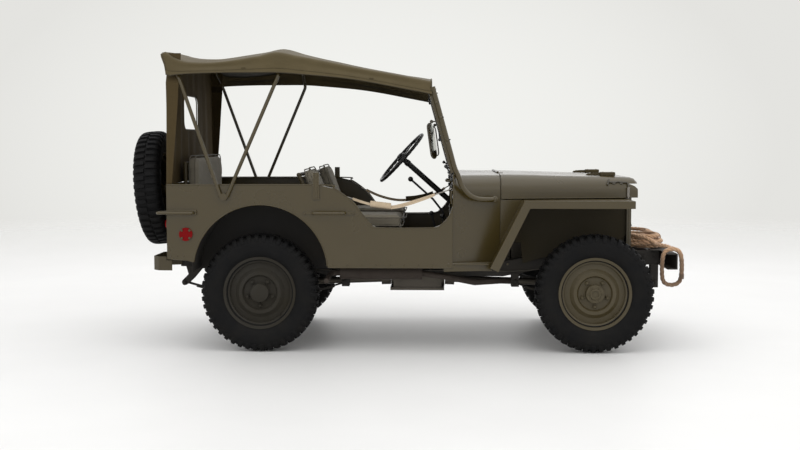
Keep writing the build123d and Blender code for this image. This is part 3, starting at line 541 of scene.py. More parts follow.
def smoothed(mesh, angle=SMOOTH_ANGLE):
    mesh.shade_smooth()
    mesh.set_sharp_from_angle(angle=math.radians(angle))
    return mesh


def mesh_object(name, made, finish, body="body", smooth=SMOOTH_ANGLE):
    """A new piece at the origin, riding on its body, from a bmesh in frame metres."""
    piece = linked(object_from(name, made))
    piece.data.materials.append(material(finish))
    smoothed(piece.data, smooth)
    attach(piece, body)
    return piece


class Shape:
    """Collects simple solids in one bmesh."""

    def __init__(self):
        self.mesh = bmesh.new()

    def ring(self, places):
        return [self.mesh.verts.new(place) for place in places]

    def block(self, corner, opposite, bevel=0.0, turn=None):
        """A box between two opposite corners, with rounded edges; turn is (axis, degrees)."""
        pairs = [sorted(pair) for pair in zip(corner, opposite)]
        low, high = (at(*(pair[end] for pair in pairs)) for end in (0, 1))
        made = bmesh.ops.create_cube(self.mesh, size=1.0)["verts"]
        bmesh.ops.transform(self.mesh, matrix=Matrix.Diagonal((*(high - low), 1)), verts=made)
        if bevel:
            edges = list({edge for vert in made for edge in vert.link_edges})
            result = bmesh.ops.bevel(self.mesh, geom=edges, offset=bevel * MM, segments=2,
                                     profile=0.6, affect="EDGES")
            made = list({vert for face in result["faces"] for vert in face.verts}
                        | {vert for vert in made if vert.is_valid})
        place = Matrix.Translation((low + high) / 2)
        if turn:
            place = place @ Matrix.Rotation(math.radians(turn[1]), 4, turn[0])
        bmesh.ops.transform(self.mesh, matrix=place, verts=made)

    def lathe(self, section, centre, axis, steps=48):
        """A turned solid: section is (radius, height) from one end of the axis to the other."""
        aim = Vector(axis).normalized().to_track_quat("Z", "Y").to_matrix().to_4x4()
        place = Matrix.Translation(at(*centre)) @ aim
        rings = []
        for radius, height in section:
            angles = turns(steps) if radius > 0.01 else [0.0]
            rings.append(self.ring(place @ (Vector((x, y, height)) * MM)
                                   for x, y in arc(0, 0, radius, angles)))
        bridge(self.mesh, rings)

    def tube(self, points, radius, sides=10, closed=False, flat=None):
        """A round or flat bar along points in millimetres; flat is (width, thickness, up)."""
        path = [at(*point) for point in points]
        if flat is None:
            outline = arc(0, 0, radius, turns(sides))
        else:
            outline = [(u * flat[0] / 2, v * flat[1] / 2) for u, v in ((-1, -1), (1, -1), (1, 1), (-1, 1))]
        rings = []
        side = None
        for index, here in enumerate(path):
            before = path[index - 1] if index or closed else here
            after = path[(index + 1) % len(path)] if index < len(path) - 1 or closed else here
            along = (after - before).normalized()
            if side is None:
                side = Vector(flat[2]).cross(along) if flat else along.orthogonal()
            side = (side - along * side.dot(along)).normalized()
            up = along.cross(side)
            rings.append(self.ring(here + (side * u + up * v) * MM for u, v in outline))
        bridge(self.mesh, rings, closed)

    def strap(self, points, width, thick, up, closed=False):
        """A flat strap along points; up is roughly its face's normal."""
        self.tube(points, 0, closed=closed, flat=(width, thick, up))

    def plate(self, outline, normal_axis, low, high):
        """A flat plate: outline in the other two axes, between two places along normal_axis."""
        index = "XYZ".index(normal_axis)
        bridge(self.mesh, [self.ring(at(*spot[:index], place, *spot[index:]) for spot in outline)
                           for place in (low, high)])

    def piece(self, name, finish, body="body", slot=None):
        made = mesh_object(name, self.mesh, finish, body)
        return made


def smooth_path(points, steps=8):
    """Points along a smooth curve through the given ones (Catmull-Rom)."""
    path = [Vector(point) for point in (points[0], *points, points[-1])]
    made = []
    for p0, p1, p2, p3 in zip(path, path[1:], path[2:], path[3:]):
        for t in (step / steps for step in range(steps)):
            made.append(0.5 * (2 * p1 + (p2 - p0) * t + (2 * p0 - 5 * p1 + 4 * p2 - p3) * t * t
                               + (3 * p1 - p0 - 3 * p2 + p3) * t ** 3))
    return made + [path[-1]]


# ---- geometry nodes: repeats -----------------------------------------------------------
def repeat_group(name, count_input=False):
    """A new geometry tree for repeating a part: its tree, inputs and the part's geometry."""
    group = bpy.data.node_groups.new(name, "GeometryNodeTree")
    extra = ("Count", "Int") if count_input else ("Width", "Float")
    for label, kind in (("Geometry", "Geometry"), ("Part", "Object"), ("Finish", "Material"), extra):
        group.interface.new_socket(label, in_out="INPUT", socket_type="NodeSocket" + kind)
    group.interface.new_socket("Geometry", in_out="OUTPUT", socket_type="NodeSocketGeometry")
    tree = Tree(group)
    given = group.nodes.new("NodeGroupInput").outputs
    part = tree.add("GeometryNodeObjectInfo", {"Object": given["Part"]}, transform_space="ORIGINAL")
    return tree, given, part.outputs["Geometry"]


def finish_group(tree, given, geometry):
    """Ends a repeating tree: its geometry gets the finish and goes out."""
    coat = tree.add("GeometryNodeSetMaterial", {0: geometry, "Material": given["Finish"]})
    tree.feed(tree.tree.nodes.new("NodeGroupOutput").inputs[0], coat.outputs[0])
    return tree.tree


def scatter_tree():
    """Instances an object on the points of a carrier mesh, turned to the points' normals."""
    name = "repeat_on_points"
    if name in bpy.data.node_groups:
        return bpy.data.node_groups[name]
    tree, given, part = repeat_group(name)
    normal = tree.add("GeometryNodeInputNamedAttribute", {"Name": "aim"}, data_type="FLOAT_VECTOR")
    turn = tree.add("FunctionNodeAlignRotationToVector", {"Vector": normal.outputs[0]}, axis="Z")
    placed = tree.add("GeometryNodeInstanceOnPoints",
                      {"Points": given["Geometry"], "Instance": part,
                       "Rotation": turn.outputs[0], "Scale": given["Width"]})
    real = tree.add("GeometryNodeRealizeInstances", {0: placed.outputs[0]})
    return finish_group(tree, given, real.outputs[0])


def grown_mesh(name, carrier, group, **values):
    """The mesh that a repeating tree makes of a carrier object, with its inputs set by label."""
    modifier = linked(carrier).modifiers.new("repeat", "NODES")
    modifier.node_group = group
    for item in group.interface.items_tree:
        if item.in_out == "INPUT" and item.name in values:
            modifier[item.identifier] = values[item.name]
    made = evaluated_mesh(carrier)
    made.name = name
    bpy.data.objects.remove(carrier)
    return made


def repeated(name, part, spots, finish, body="body", width=1.0):
    """One joined piece: a small part repeated at spots, each (place in mm, aim)."""
    places = bpy.data.meshes.new(name + "_spots")
    places.from_pydata([at(*place) for place, _ in spots], [], [])
    aims = places.attributes.new("aim", "FLOAT_VECTOR", "POINT")
    for index, (_, aim) in enumerate(spots):
        aims.data[index].vector = aim
    carrier = bpy.data.objects.new(name + "_carrier", places)
    made = grown_mesh(name, carrier, scatter_tree(), Part=part, Finish=material(finish), Width=width)
    piece = linked(bpy.data.objects.new(name, smoothed(made)))
    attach(piece, body)
    return piece


def small_part(name, build):
    """A hidden part to be repeated, in metres about its own origin, its base on the XY plane."""
    if name not in bpy.data.objects:
        made = bmesh.new()
        build(made)
        smoothed(object_from(name, made).data)
    return bpy.data.objects[name]


def turned_part(name, section, steps):
    """A small turned part from (radius, height) pairs in units of its width."""
    def build(made):
        rings = [[made.verts.new((x, y, height)) for x, y in arc(0, 0, radius, turns(steps))]
                 for radius, height in section]
        bridge(made, rings, caps=False)
        made.faces.new(rings[-1])
    return small_part(name, build)


def hexagon_bolt():
    """Hexagon head on a washer, one unit across."""
    return turned_part("hexagon_bolt", [(0.62, 0.0), (0.62, 0.08), (0.5, 0.08), (0.5, 0.36),
                                        (0.42, 0.42), (0.2, 0.42)], 6)


def round_rivet():
    """Low domed head, one unit across."""
    return turned_part("round_rivet", [(0.5, 0.0), (0.47, 0.12), (0.34, 0.24), (0.12, 0.29)], 10)


def wheel_nut():
    """Coned hexagon nut on a stud, one unit across."""
    return turned_part("wheel_nut", [(0.62, 0.0), (0.55, 0.14), (0.52, 0.16), (0.52, 0.62),
                                     (0.4, 0.74), (0.27, 0.74), (0.27, 1.0), (0.16, 1.02)], 6)




# ---- stage and camera ------------------------------------------------------------------
CAMERA_PLACE = (41.6, -7506.0, 1277.0)
CAMERA_AIM = (-0.0297, 0.9996)
CAMERA_DOWN = 4.191
CAMERA_LENS = 51.1
AMBIENT = (1.02, 1.22)      # light from the horizon and from overhead
WALL = ((0.895, 0.897, 0.868), (0.775, 0.772, 0.745))       # middle and edge of the picture
# name, place, target, size and energy
LAMPS = [
    ("overhead", (100, -1500, 4300), (0, -1500, 700), (6.0, 5.0), 62.0),
    ("near_left", (-4600, -4600, 3600), (-500, -300, 700), (3.0, 2.0), 12.0),
    ("near_right", (4600, -4300, 3600), (600, -300, 700), (2.6, 2.0), 6.0),
    ("far_side", (0, 5200, 3300), (0, 0, 900), (5.0, 2.0), 32.0),
]


def panel_light(name, place, target, size, energy):
    """A soft rectangular lamp facing its target."""
    data = bpy.data.lights.new(name, "AREA")
    data.shape = "RECTANGLE"
    data.size, data.size_y = size
    data.energy = energy
    lamp = linked(bpy.data.objects.new(name, data))
    lamp.location = at(*place)
    aim = at(*target) - lamp.location
    lamp.rotation_euler = aim.to_track_quat("-Z", "Y").to_euler()


FLOOR_FADE = (4.5, 13.0)
FLOOR_TONES = ((0.72, 0.717, 0.707), (0.74, 0.737, 0.727))


def pale_floor():
    """A wide pale floor that keeps shadows near the car and thins out into the background."""
    made = bmesh.new()
    bmesh.ops.create_circle(made, cap_ends=True, segments=96, radius=FLOOR_FADE[1] + 1.0)
    floor = linked(object_from("studio_floor", made))
    finish = Material("studio_floor", Roughness=0.5, Specular_IOR_Level=0.35)
    tree = finish.tree
    flat = tree.add("ShaderNodeVectorMath", {0: finish.place, 1: (1.0, 1.0, 0.0)},
                    operation="MULTIPLY")
    reach = tree.add("ShaderNodeVectorMath", {0: flat.outputs[0]}, operation="LENGTH")
    fade = tree.span(reach.outputs["Value"], FLOOR_FADE[0], FLOOR_FADE[1], 1.0, 0.0)
    grey = tree.span(tree.noise(finish.place, 1.3, 3.0), 0.3, 0.7, 0.0, 1.0)
    tone = tree.mix(grey, *FLOOR_TONES)
    floor.data.materials.append(finish.paint(Alpha=fade, Base_Color=tone))


def background():
    """Studio light, stronger from above; camera and glass rays see a pale wall, brightest in the middle."""
    world = bpy.data.worlds.new("studio")
    bpy.context.scene.world = world
    world.use_nodes = True
    tree = Tree(world.node_tree)
    world.node_tree.nodes.clear()
    path = tree.add("ShaderNodeLightPath").outputs
    seen = tree.math("MAXIMUM", path["Is Camera Ray"], path["Is Transmission Ray"])
    toward = tree.add("ShaderNodeNewGeometry").outputs["Incoming"]
    height = tree.add("ShaderNodeSeparateXYZ", {0: toward}).outputs["Z"]
    strength = tree.span(height, 0.0, -0.75, *AMBIENT)
    light = tree.add("ShaderNodeBackground", {"Color": (1.0, 1.0, 1.0), "Strength": strength})
    window = tree.add("ShaderNodeTexCoord").outputs["Window"]
    offset = tree.add("ShaderNodeVectorMath", {0: window, 1: (0.47, 0.68, 0.0)}, operation="SUBTRACT")
    reach = tree.add("ShaderNodeVectorMath", {0: offset.outputs[0]}, operation="LENGTH")
    fade = tree.span(tree.math("POWER", reach.outputs["Value"], 2.0), 0.0, 0.25)
    shown = tree.mix(fade, *WALL)
    back = tree.add("ShaderNodeBackground", {"Color": shown, "Strength": 1.0})
    mixed = tree.add("ShaderNodeMixShader", {0: seen, 1: light.outputs[0], 2: back.outputs[0]})
    out = tree.add("ShaderNodeOutputWorld")
    tree.feed(out.inputs[0], mixed.outputs[0])


class FIELDCAR_OT_stage(bpy.types.Operator):
    """Floor, soft studio light, pale background and camera"""
    bl_idname = "field_car.stage"
    bl_label = "Stage"

    def execute(self, context):
        context.scene.view_settings.view_transform = "Standard"
        pale_floor()
        background()
        for lamp in LAMPS:
            panel_light(*lamp)
        data = bpy.data.cameras.new("camera")
        data.lens = CAMERA_LENS
        data.sensor_width = 36.0
        data.clip_end = 300.0
        camera = linked(bpy.data.objects.new("camera", data))
        camera.location = at(*CAMERA_PLACE)
        down = math.radians(CAMERA_DOWN)
        aim = Vector((CAMERA_AIM[0] * math.cos(down), CAMERA_AIM[1] * math.cos(down),
                      -math.sin(down)))
        camera.rotation_euler = aim.to_track_quat("-Z", "Y").to_euler()
        context.scene.camera = camera
        return {"FINISHED"}
# ---- rope ------------------------------------------------------------------------------
# Route between the coil on the frame ends and the hank over the bumper, in metres from the
# middle of the wheelbase
ROPE_TAIL = [(1.430, -0.4015, 0.640), (1.434, -0.461, 0.641), (1.478, -0.518, 0.637),
             (1.483, -0.5755, 0.631)]
COIL_MIDDLE = (1.396, 0.045)
# radius of the ends, height and half length of each turn of the coil
COIL_TURNS = [(0.062, 0.618, 0.258), (0.100, 0.618, 0.262), (0.100, 0.648, 0.259),
              (0.062, 0.648, 0.263), (0.080, 0.678, 0.255)]
# the rope climbs onto the coil and leaves it
COIL_EXIT = [(1.317, -0.150, 0.678), (1.323, -0.225, 0.680), (1.347, -0.292, 0.681),
             (1.386, -0.346, 0.672), (1.418, -0.376, 0.652)]
QUARTERS = (0.0, 0.25, 0.5, 0.75, 1.0)
HALF_TURN = (22.5, 45, 67.5, 90, 112.5, 135, 157.5)
HANK_MIDDLE = (1.485, 0.520)
HANK_TURNS = 1.36


def coil_points():
    """Turns of the oblong coil: spiralling out, up, in and up, a diameter apart."""
    made = []
    for index, (radius, height, half) in enumerate(COIL_TURNS):
        last = index == len(COIL_TURNS) - 1
        after = COIL_TURNS[index + 1] if not last else COIL_TURNS[index]
        middle_x, middle_y = COIL_MIDDLE
        wave = 0.0035 * math.sin(2.2 * index)
        for share in QUARTERS:
            y = middle_y - half + 2 * half * share
            made.append((middle_x + radius + wave * math.sin(math.pi * share), y, height))
        made += [(x, y, height) for x, y in arc(middle_x, middle_y + half, radius, HALF_TURN)]
        lift = after[1] - height if index == 3 else 0.0
        for share in QUARTERS if not last else (0.0, 0.3, 0.55):
            y = middle_y + half - 2 * half * share
            made.append((middle_x - radius, y, height + lift * min(1.0, share * 1.15)))
        if last:
            break
        for angle in HALF_TURN:
            part = math.radians(angle / 2)
            outward = after[0] > radius
            share = 1 - math.cos(part) if outward else math.sin(part) ** 0.6
            radius_here = radius + (after[0] - radius) * share
            half_here = half + (after[2] - half) * share
            rise = (after[1] - height) * math.sin(part) if not lift else lift
            turn = math.radians(180 + angle)
            made.append((middle_x + radius_here * math.cos(turn),
                         middle_y - half_here + radius_here * math.sin(turn), height + rise))
    return made


def hank_points():
    """The rope's last turns, hung round the end of the bumper."""
    made = []
    middle_x, middle_z = HANK_MIDDLE
    steps = int(16 * HANK_TURNS)
    for step in range(1, steps + 1):
        angle = 2 * math.pi * step / 16
        swell = 1.0 + 0.05 * math.sin(angle * 0.7)
        x = middle_x + 0.061 * math.sin(angle) * swell
        z = middle_z + 0.050 * math.cos(angle) + 0.061 * max(-1.0, min(1.0, 2.2 * math.cos(angle)))
        made.append((x, -0.586 - 0.0298 * step / 16 - 0.006 * min(1.0, step / 3), z))
    return made


def spline_line(points, name):
    """Points along a smooth curve that follows the route, in frame metres."""
    curve = bpy.data.curves.new(name, "CURVE")
    curve.dimensions = "3D"
    curve.resolution_u = 8
    spline = curve.splines.new("NURBS")
    spline.points.add(len(points) - 1)
    for target, point in zip(spline.points, points):
        target.co = (BASE_X + point[0], point[1], point[2], 1.0)
    spline.order_u = 3
    spline.use_endpoint_u = True
    carrier = linked(bpy.data.objects.new(name, curve))
    mesh = evaluated_mesh(carrier)
    line = [vert.co.copy() for vert in mesh.vertices]
    bpy.data.objects.remove(carrier)
    bpy.data.meshes.remove(mesh)
    return line


def even_steps(line, step):
    """The line's points, evenly spaced."""
    made = [line[0].copy()]
    left = step
    for start, end in zip(line, line[1:]):
        length = (end - start).length
        while length >= left and length > 0:
            start = start + (end - start) * (left / length)
            made.append(start.copy())
            length = (end - start).length
            left = step
        left -= length
    if (made[-1] - line[-1]).length > step * 0.3:
        made.append(line[-1].copy())
    return made


def add_strand(made, line, phase, lay, offset, radius, sides=9):
    """One strand of a laid rope, winding round the line."""
    side = (line[1] - line[0]).orthogonal().normalized()
    rings = []
    travelled = 0.0
    for index, here in enumerate(line):
        before, after = line[max(index - 1, 0)], line[min(index + 1, len(line) - 1)]
        along = (after - before).normalized()
        side = (side - along * side.dot(along)).normalized()
        up = along.cross(side)
        turn = phase + 2 * math.pi * travelled / lay
        out = side * math.cos(turn) + up * math.sin(turn)
        centre = here + out * offset
        flat = along.cross(out)
        rings.append([made.verts.new(centre + out * u + flat * v)
                      for u, v in arc(0, 0, radius, turns(sides), radius * 1.12)])
        if index < len(line) - 1:
            travelled += (line[index + 1] - here).length
    bridge(made, rings)


class FIELDCAR_OT_rope(bpy.types.Operator):
    """Lays the rope: coil on the frame ends, tail, and hank over the bumper"""
    bl_idname = "field_car.rope"
    bl_label = "Rope"

    def execute(self, context):
        route = coil_points() + COIL_EXIT + ROPE_TAIL + hank_points()
        line = even_steps(spline_line(route, "rope_route"), 0.006)
        made = bmesh.new()
        for strand in range(3):
            add_strand(made, line, 2 * math.pi * strand / 3, sizes_of().strand_twist, 0.0066, 0.0073)
        rope = mesh_object("bumper_rope", made, "rope", smooth=60)
        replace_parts(rope, "rope_bundle", "rope_tail", "rope_loop")
        ends = Shape()
        for tip, inner in ((line[0], line[5]), (line[-1], line[-6])):
            aim = (tip - inner).normalized()
            for turn in range(7):
                place = (tip - aim * (0.003 + 0.0042 * turn) - Vector((BASE_X, 0, 0))) / MM
                side = aim.orthogonal().normalized()
                up = aim.cross(side)
                ends.tube([place + side * u + up * v for u, v in arc(0, 0, 13.6, turns(20))], 2.0, 6,
                          closed=True)
        whipping = ends.piece("rope_whippings", "rope_twine", slot="rope")
        ties = Shape()
        for y in (-120, 190):
            loop = []
            for angle in map(math.radians, turns(32)):
                x, z = (math.copysign(abs(value) ** 0.55, value)
                        for value in (math.cos(angle), math.sin(angle)))
                loop.append((1396 + 116 * x, y + 6 * math.sin(3 * angle), 648 + 46 * z))
            ties.tube(loop, 4.5, 8, closed=True)
        ties.piece("rope_lashings", "rope_twine")
        return {"FINISHED"}


# ---- tyres -----------------------------------------------------------------------------
TYRE_SECTION = [(206, 50), (214, 54), (222, 57), (231, 66), (246, 73.5), (266, 78), (285, 79.5),
                (300, 79.5), (312, 78), (324, 74.5), (334, 69), (340.5, 60), (344, 46), (346, 24),
                (346.5, 0)]
TYRE_INSIDE = (196, 40)     # radius and half width of the carcass inside the rim
TYRE_STEPS = 96
# across, top and foot radius of a tread bar, from the crown to the shoulder
BAR_ROWS = [(4, 359.6, 345.5), (24, 359.3, 345), (44, 357.6, 343), (58, 353.5, 338.5),
            (68.5, 345, 329), (76.5, 331, 320), (80, 314, 309)]
WHEELS = ("front_left", "front_right", "rear_left", "rear_right")


def tyre_section():
    """Full cross-section of the carcass from bead to bead, with a moulded band on the wall."""
    outer = []
    for radius, across in TYRE_SECTION:
        ring = 1.6 if 243 < radius < 262 or 297 < radius < 308 else 0.0
        outer.append((radius, across + ring))
    inside, half = TYRE_INSIDE
    return (outer + [(radius, -across) for radius, across in reversed(outer[:-1])]
            + [(inside, -half), (inside, half)])


def tread_bar():
    """One tread bar on the left half: it lies across the crown and turns down the shoulder."""
    def build(made):
        rings = []
        for across, top, foot in BAR_ROWS:
            half = 10.2 + 3.0 * (0.5 + 0.5 * min(1.0, across / 60.0))
            foot_across = min(across, 73.0)
            rings.append([made.verts.new(Vector(place) * MM) for place in (
                (-half + 1.6, across, top), (half - 1.6, across, top),
                (half + 1.4, foot_across, foot), (-half - 1.4, foot_across, foot))])
        bridge(made, rings)
        edges = [edge for edge in made.edges if edge.calc_length() > 0.012]
        bmesh.ops.bevel(made, geom=edges, offset=0.0011, segments=1, affect="EDGES")
    return small_part("tread_bar", build)


def ring_tree():
    """Puts one part round an axle: equal steps, left and mirrored right halves half a step apart."""
    tree, given, part = repeat_group("ring_of_parts", count_input=True)
    halves = tree.add("GeometryNodeJoinGeometry")
    for side, offset in ((1.0, 0.0), (-1.0, 0.5)):
        half = tree.add("GeometryNodeTransform", {"Geometry": part, "Scale": (1.0, side, 1.0)})
        if side < 0:
            half = tree.add("GeometryNodeFlipFaces", {0: half.outputs[0]})
        line = tree.add("GeometryNodeMeshLine", {"Count": given["Count"], "Offset": (0, 0, 0)})
        index = tree.add("GeometryNodeInputIndex").outputs[0]
        step = tree.math("DIVIDE", 2 * math.pi, given["Count"])
        angle = tree.math("MULTIPLY", tree.math("ADD", index, offset), step)
        turn = tree.add("ShaderNodeCombineXYZ", {1: angle})
        placed = tree.add("GeometryNodeInstanceOnPoints",
                          {"Points": line.outputs[0], "Instance": half.outputs[0],
                           "Rotation": turn.outputs[0]})
        tree.feed(halves.inputs[0], placed.outputs[0])
    real = tree.add("GeometryNodeRealizeInstances", {0: halves.outputs[0]})
    merged = tree.add("GeometryNodeJoinGeometry", {0: real.outputs[0]})
    tree.feed(merged.inputs[0], given["Geometry"])
    return finish_group(tree, given, merged.outputs[0])


def tyre_mesh():
    """One whole tyre about the origin, its axle along Y, built once and shared by copying."""
    name = "bar_tread_tyre"
    if name not in bpy.data.meshes:
        made = bmesh.new()
        rings = [[made.verts.new(Vector((x, across, z)) * MM)
                  for z, x in arc(0, 0, radius, turns(TYRE_STEPS))]
                 for radius, across in tyre_section()]
        bridge(made, rings, closed=True)
        carcass = object_from(name + "_carcass", made)
        carcass.data.shade_smooth()
        mesh = grown_mesh(name, carcass, ring_tree(), Part=tread_bar(), Finish=material("rubber"),
                          Count=sizes_of().tread_blocks)
        mesh.set_sharp_from_angle(angle=math.radians(38))
    return bpy.data.meshes[name]


def place_tyre(name, node, turn, body):
    """A tyre in a CAD tyre's place; turn is the rotation of its axle from Y."""
    mesh = tyre_mesh().copy()
    mesh.name = name
    mesh.transform(Matrix.Translation(middle(node)) @ turn)
    piece = linked(bpy.data.objects.new(name, mesh))
    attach(piece, body)
    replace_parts(piece, node)


def finish_node(node, finish):
    """Puts a material on every slot of a CAD node."""
    slots = NODES[node].data.materials
    if not slots:
        slots.append(None)
    for index in range(len(slots)):
        slots[index] = material(finish)


SPARE_LEAN = 4.5


class FIELDCAR_OT_tyres(bpy.types.Operator):
    """Builds the five bar-tread tyres"""
    bl_idname = "field_car.tyres"
    bl_label = "Tyres"

    def execute(self, context):
        for index, wheel in enumerate(WHEELS):
            turn = Matrix.Rotation(math.radians(3.0 + 2.1 * index), 4, "Y")
            place_tyre("bar_tyre_" + wheel, "tyre_" + wheel, turn, "wheel_" + wheel)
        upright = Matrix.Rotation(math.radians(-SPARE_LEAN), 4, "Y") @ \
            Matrix.Rotation(math.radians(90), 4, "Z")
        place_tyre("bar_tyre_spare", "spare_tyre", upright, "body")
        return {"FINISHED"}


DISC_OUT = 27.0
HUB_SECTIONS = {
    "front": [(55, 0), (55, 33), (53, 34.5), (34, 34.5), (33, 40), (31, 42), (22, 42), (21, 36),
              (0, 36)],
    "rear": [(57, 0), (57, 31), (54.5, 35), (50, 36.5), (20, 38.5), (0, 39)],
    "spare": [(45, 0), (45, 3), (30, 4), (30, 14), (12, 16), (11, 30), (0, 31)],
}


def wheel_fittings(name, centre, outward, body, kind):
    """Nuts, hub cap and valve of one wheel; outward is the axle's outer direction."""
    aim = Vector(outward).normalized()
    side = Vector((0, 0, 1)).cross(aim).normalized()
    up = aim.cross(side)
    base = (centre - Vector((BASE_X, 0, 0))) / MM + aim * DISC_OUT

    def spots(radius, out, angles):
        return [base + side * u + up * v + aim * out for u, v in arc(0, 0, radius, angles)]

    # rear wheels take the finish with painted shade
    finish = "wheel_shaded" if kind == "rear" else "wheel_olive"
    nuts = [(place, aim) for place in spots(79.4, 0.0, range(-90, 270, 72))]
    repeated(name + "_nuts", wheel_nut(), nuts, finish, body, 23.0 * MM)
    shape = Shape()
    shape.lathe(HUB_SECTIONS[kind], base, aim, 40)
    foot, tip = *spots(186, 2, [-47]), *spots(180, 12, [-47])
    shape.tube([foot, tip, tip + aim * 17], 3.6, 8)
    shape.piece(name + "_hub_cap", finish, body, slot="olive_paint")
    if kind == "front":
        bolts = [(place, aim) for place in spots(44.0, 33.4, range(0, 360, 60))]
        repeated(name + "_hub_bolts", hexagon_bolt(), bolts, finish, body, 10.0 * MM)


class FIELDCAR_OT_wheels(bpy.types.Operator):
    """Paints the wheels and fits nuts, hub caps and valves"""
    bl_idname = "field_car.wheels"
    bl_label = "Wheels"

    def execute(self, context):
        for wheel in WHEELS:
            end, side = wheel.split("_")
            # rear wheels take the finish with painted shade
            finish_node("wheel_" + wheel, "wheel_shaded" if end == "rear" else "wheel_olive")
            wheel_fittings("fit_" + wheel, middle("tyre_" + wheel),
                           (0, 1 if side == "left" else -1, 0), "wheel_" + wheel, end)
        finish_node("spare_wheel", "wheel_olive")
        lean = math.radians(SPARE_LEAN)
        wheel_fittings("fit_spare", middle("spare_tyre"), (-math.cos(lean), 0, -math.sin(lean)),
                       "body", "spare")
        return {"FINISHED"}


# ---- canvas top and curtain ------------------------------------------------------------
# X, crest height, fold height, hem height of the roof sheet, windscreen to rear bow
ROOF_ROWS = [(30, 1674, 1634, 1557), (-60, 1692, 1652, 1575), (-440, 1762, 1722, 1645),
             (-780, 1842, 1788, 1678), (-898, 1868, 1808, 1685), (-1010, 1850, 1786, 1686),
             (-1250, 1822, 1752, 1686), (-1430, 1817, 1752, 1680), (-1515, 1824, 1778, 1672),
             (-1560, 1832, 1812, 1667), (-1578, 1822, 1800, 1676)]


def between(rows, place):
    """Heights of a table's row at a place, smoothly between its rows."""
    for index, (near, far) in enumerate(zip(rows, rows[1:])):
        if near[0] >= place >= far[0]:
            t = (near[0] - place) / (near[0] - far[0])
            before = rows[max(index - 1, 0)]
            after = rows[min(index + 2, len(rows) - 1)]
            made = []
            for column in range(1, len(near)):
                span = near[0] - far[0]
                slope_near = (far[column] - before[column]) / max(before[0] - far[0], 1) * span
                slope_far = (after[column] - near[column]) / max(near[0] - after[0], 1) * span
                made.append((2 * t ** 3 - 3 * t * t + 1) * near[column]
                            + (t ** 3 - 2 * t * t + t) * slope_near
                            + (3 * t * t - 2 * t ** 3) * far[column]
                            + (t ** 3 - t * t) * slope_far)
            return made
    return rows[-1][1:] if place < rows[-1][0] else rows[0][1:]


def bell(value, centre, width):
    return math.exp(-((value - centre) / width) ** 2)


def soft(x, y, z):
    return noise.noise(Vector((x, y, z)))


ROOF_FRONT_X, ROOF_REAR_X = 30, -1578
SIDE_SEAM = 0.81            # share of the half width at which the top turns into the valance


def roof_point(along, across):
    """A point of the roof sheet: along 0..1 from the windscreen, across -1..1 over the car."""
    x = ROOF_FRONT_X + (ROOF_REAR_X - ROOF_FRONT_X) * along
    crest, fold, hem = between(ROOF_ROWS, x)
    side = abs(across)
    sign = 1 if across > 0 else -1
    sag = sizes_of().canvas_sag / MM
    open_span = math.sin(math.pi * min(1.0, along / 0.575)) if along < 0.575 else \
        math.sin(math.pi * (along - 0.575) / 0.405) if along < 0.98 else 0.0
    if side <= SIDE_SEAM:
        y = 712 * side / SIDE_SEAM
        drop = (side / SIDE_SEAM) ** 2.3
        z = crest - (crest - fold) * drop
        z -= sag * open_span * (1 - (side / SIDE_SEAM) ** 2)
        z += 3.0 * soft(x / 210 + y / 600, y / 300, 1.3) * open_span
        z += 8.0 * open_span * bell(y, 640 - 260 * bell(x, -900, 260), 36)
        z -= 8.0 * open_span * bell(y, 560 - 240 * bell(x, -900, 260), 60)
    else:
        t = (side - SIDE_SEAM) / (1 - SIDE_SEAM)
        turn = min(1.0, t / 0.16)
        y = 712 + 12 * math.sin(turn * math.pi / 2) + 22 * max(0.0, t - 0.16) / 0.84
        z = fold - (fold - hem) * (t * 0.985 + 0.015 * turn)
        pull = bell(x, -898, 200) + bell(x, -1540, 130)
        y += 4.5 * t * soft(x / 130, 4.0 + sign, z / 400) * (1 - 0.5 * pull)
        y -= 7.0 * bell(t, 0.42, 0.2) * open_span
        ridge = bell(z - 0.11 * (x + 898), 1752, 9) * bell(x, -620, 210) * 4.0
        y += ridge + 3.0 * bell(z + 0.16 * (x + 898), 1757, 8) * bell(x, -1160, 190)
        if t > 0.84:
            y += 1.8
    if along > 0.985:
        lean = (along - 0.985) / 0.015
        x -= 14 * lean * (1 if side <= SIDE_SEAM else max(0.0, 1 - (side - SIDE_SEAM) / 0.19 * 1.9))
    if side > SIDE_SEAM and along > 0.93:
        x += 24 * ((side - SIDE_SEAM) / 0.19) ** 1.2 * (along - 0.93) / 0.07
    seam = bell(side, SIDE_SEAM - 0.012, 0.004) + bell(side, 0.27, 0.0035)
    z += 1.6 * seam
    return x, sign * y, z


def cloth_grid(name, point, steps, thick, finish):
    """A closed cloth sheet from a function of two shares, thickened inwards."""
    count_u, count_v = steps
    made = bmesh.new()
    rows = []
    for u in range(count_u + 1):
        rows.append([made.verts.new(at(*point(u / count_u, v / count_v * 2 - 1)))
                     for v in range(count_v + 1)])
    for u in range(count_u):
        for v in range(count_v):
            made.faces.new((rows[u][v], rows[u][v + 1], rows[u + 1][v + 1], rows[u + 1][v]))
    made.normal_update()
    bmesh.ops.solidify(made, geom=made.faces[:], thickness=thick * MM)
    return mesh_object(name, made, finish, smooth=50)


def sheet_area(point, steps):
    """Area in square metres, added up over the grid's cells."""
    total = 0.0
    count_u, count_v = steps
    for u in range(count_u):
        for v in range(count_v):
            a, b, c = (at(*point((u + du) / count_u, (v + dv) / count_v * 2 - 1))
                       for du, dv in ((0, 0), (1, 0), (0, 1)))
            total += (b - a).cross(c - a).length
    return total


CURTAIN_X = -1566
CURTAIN_WINDOW = (205, 1352, 1582)


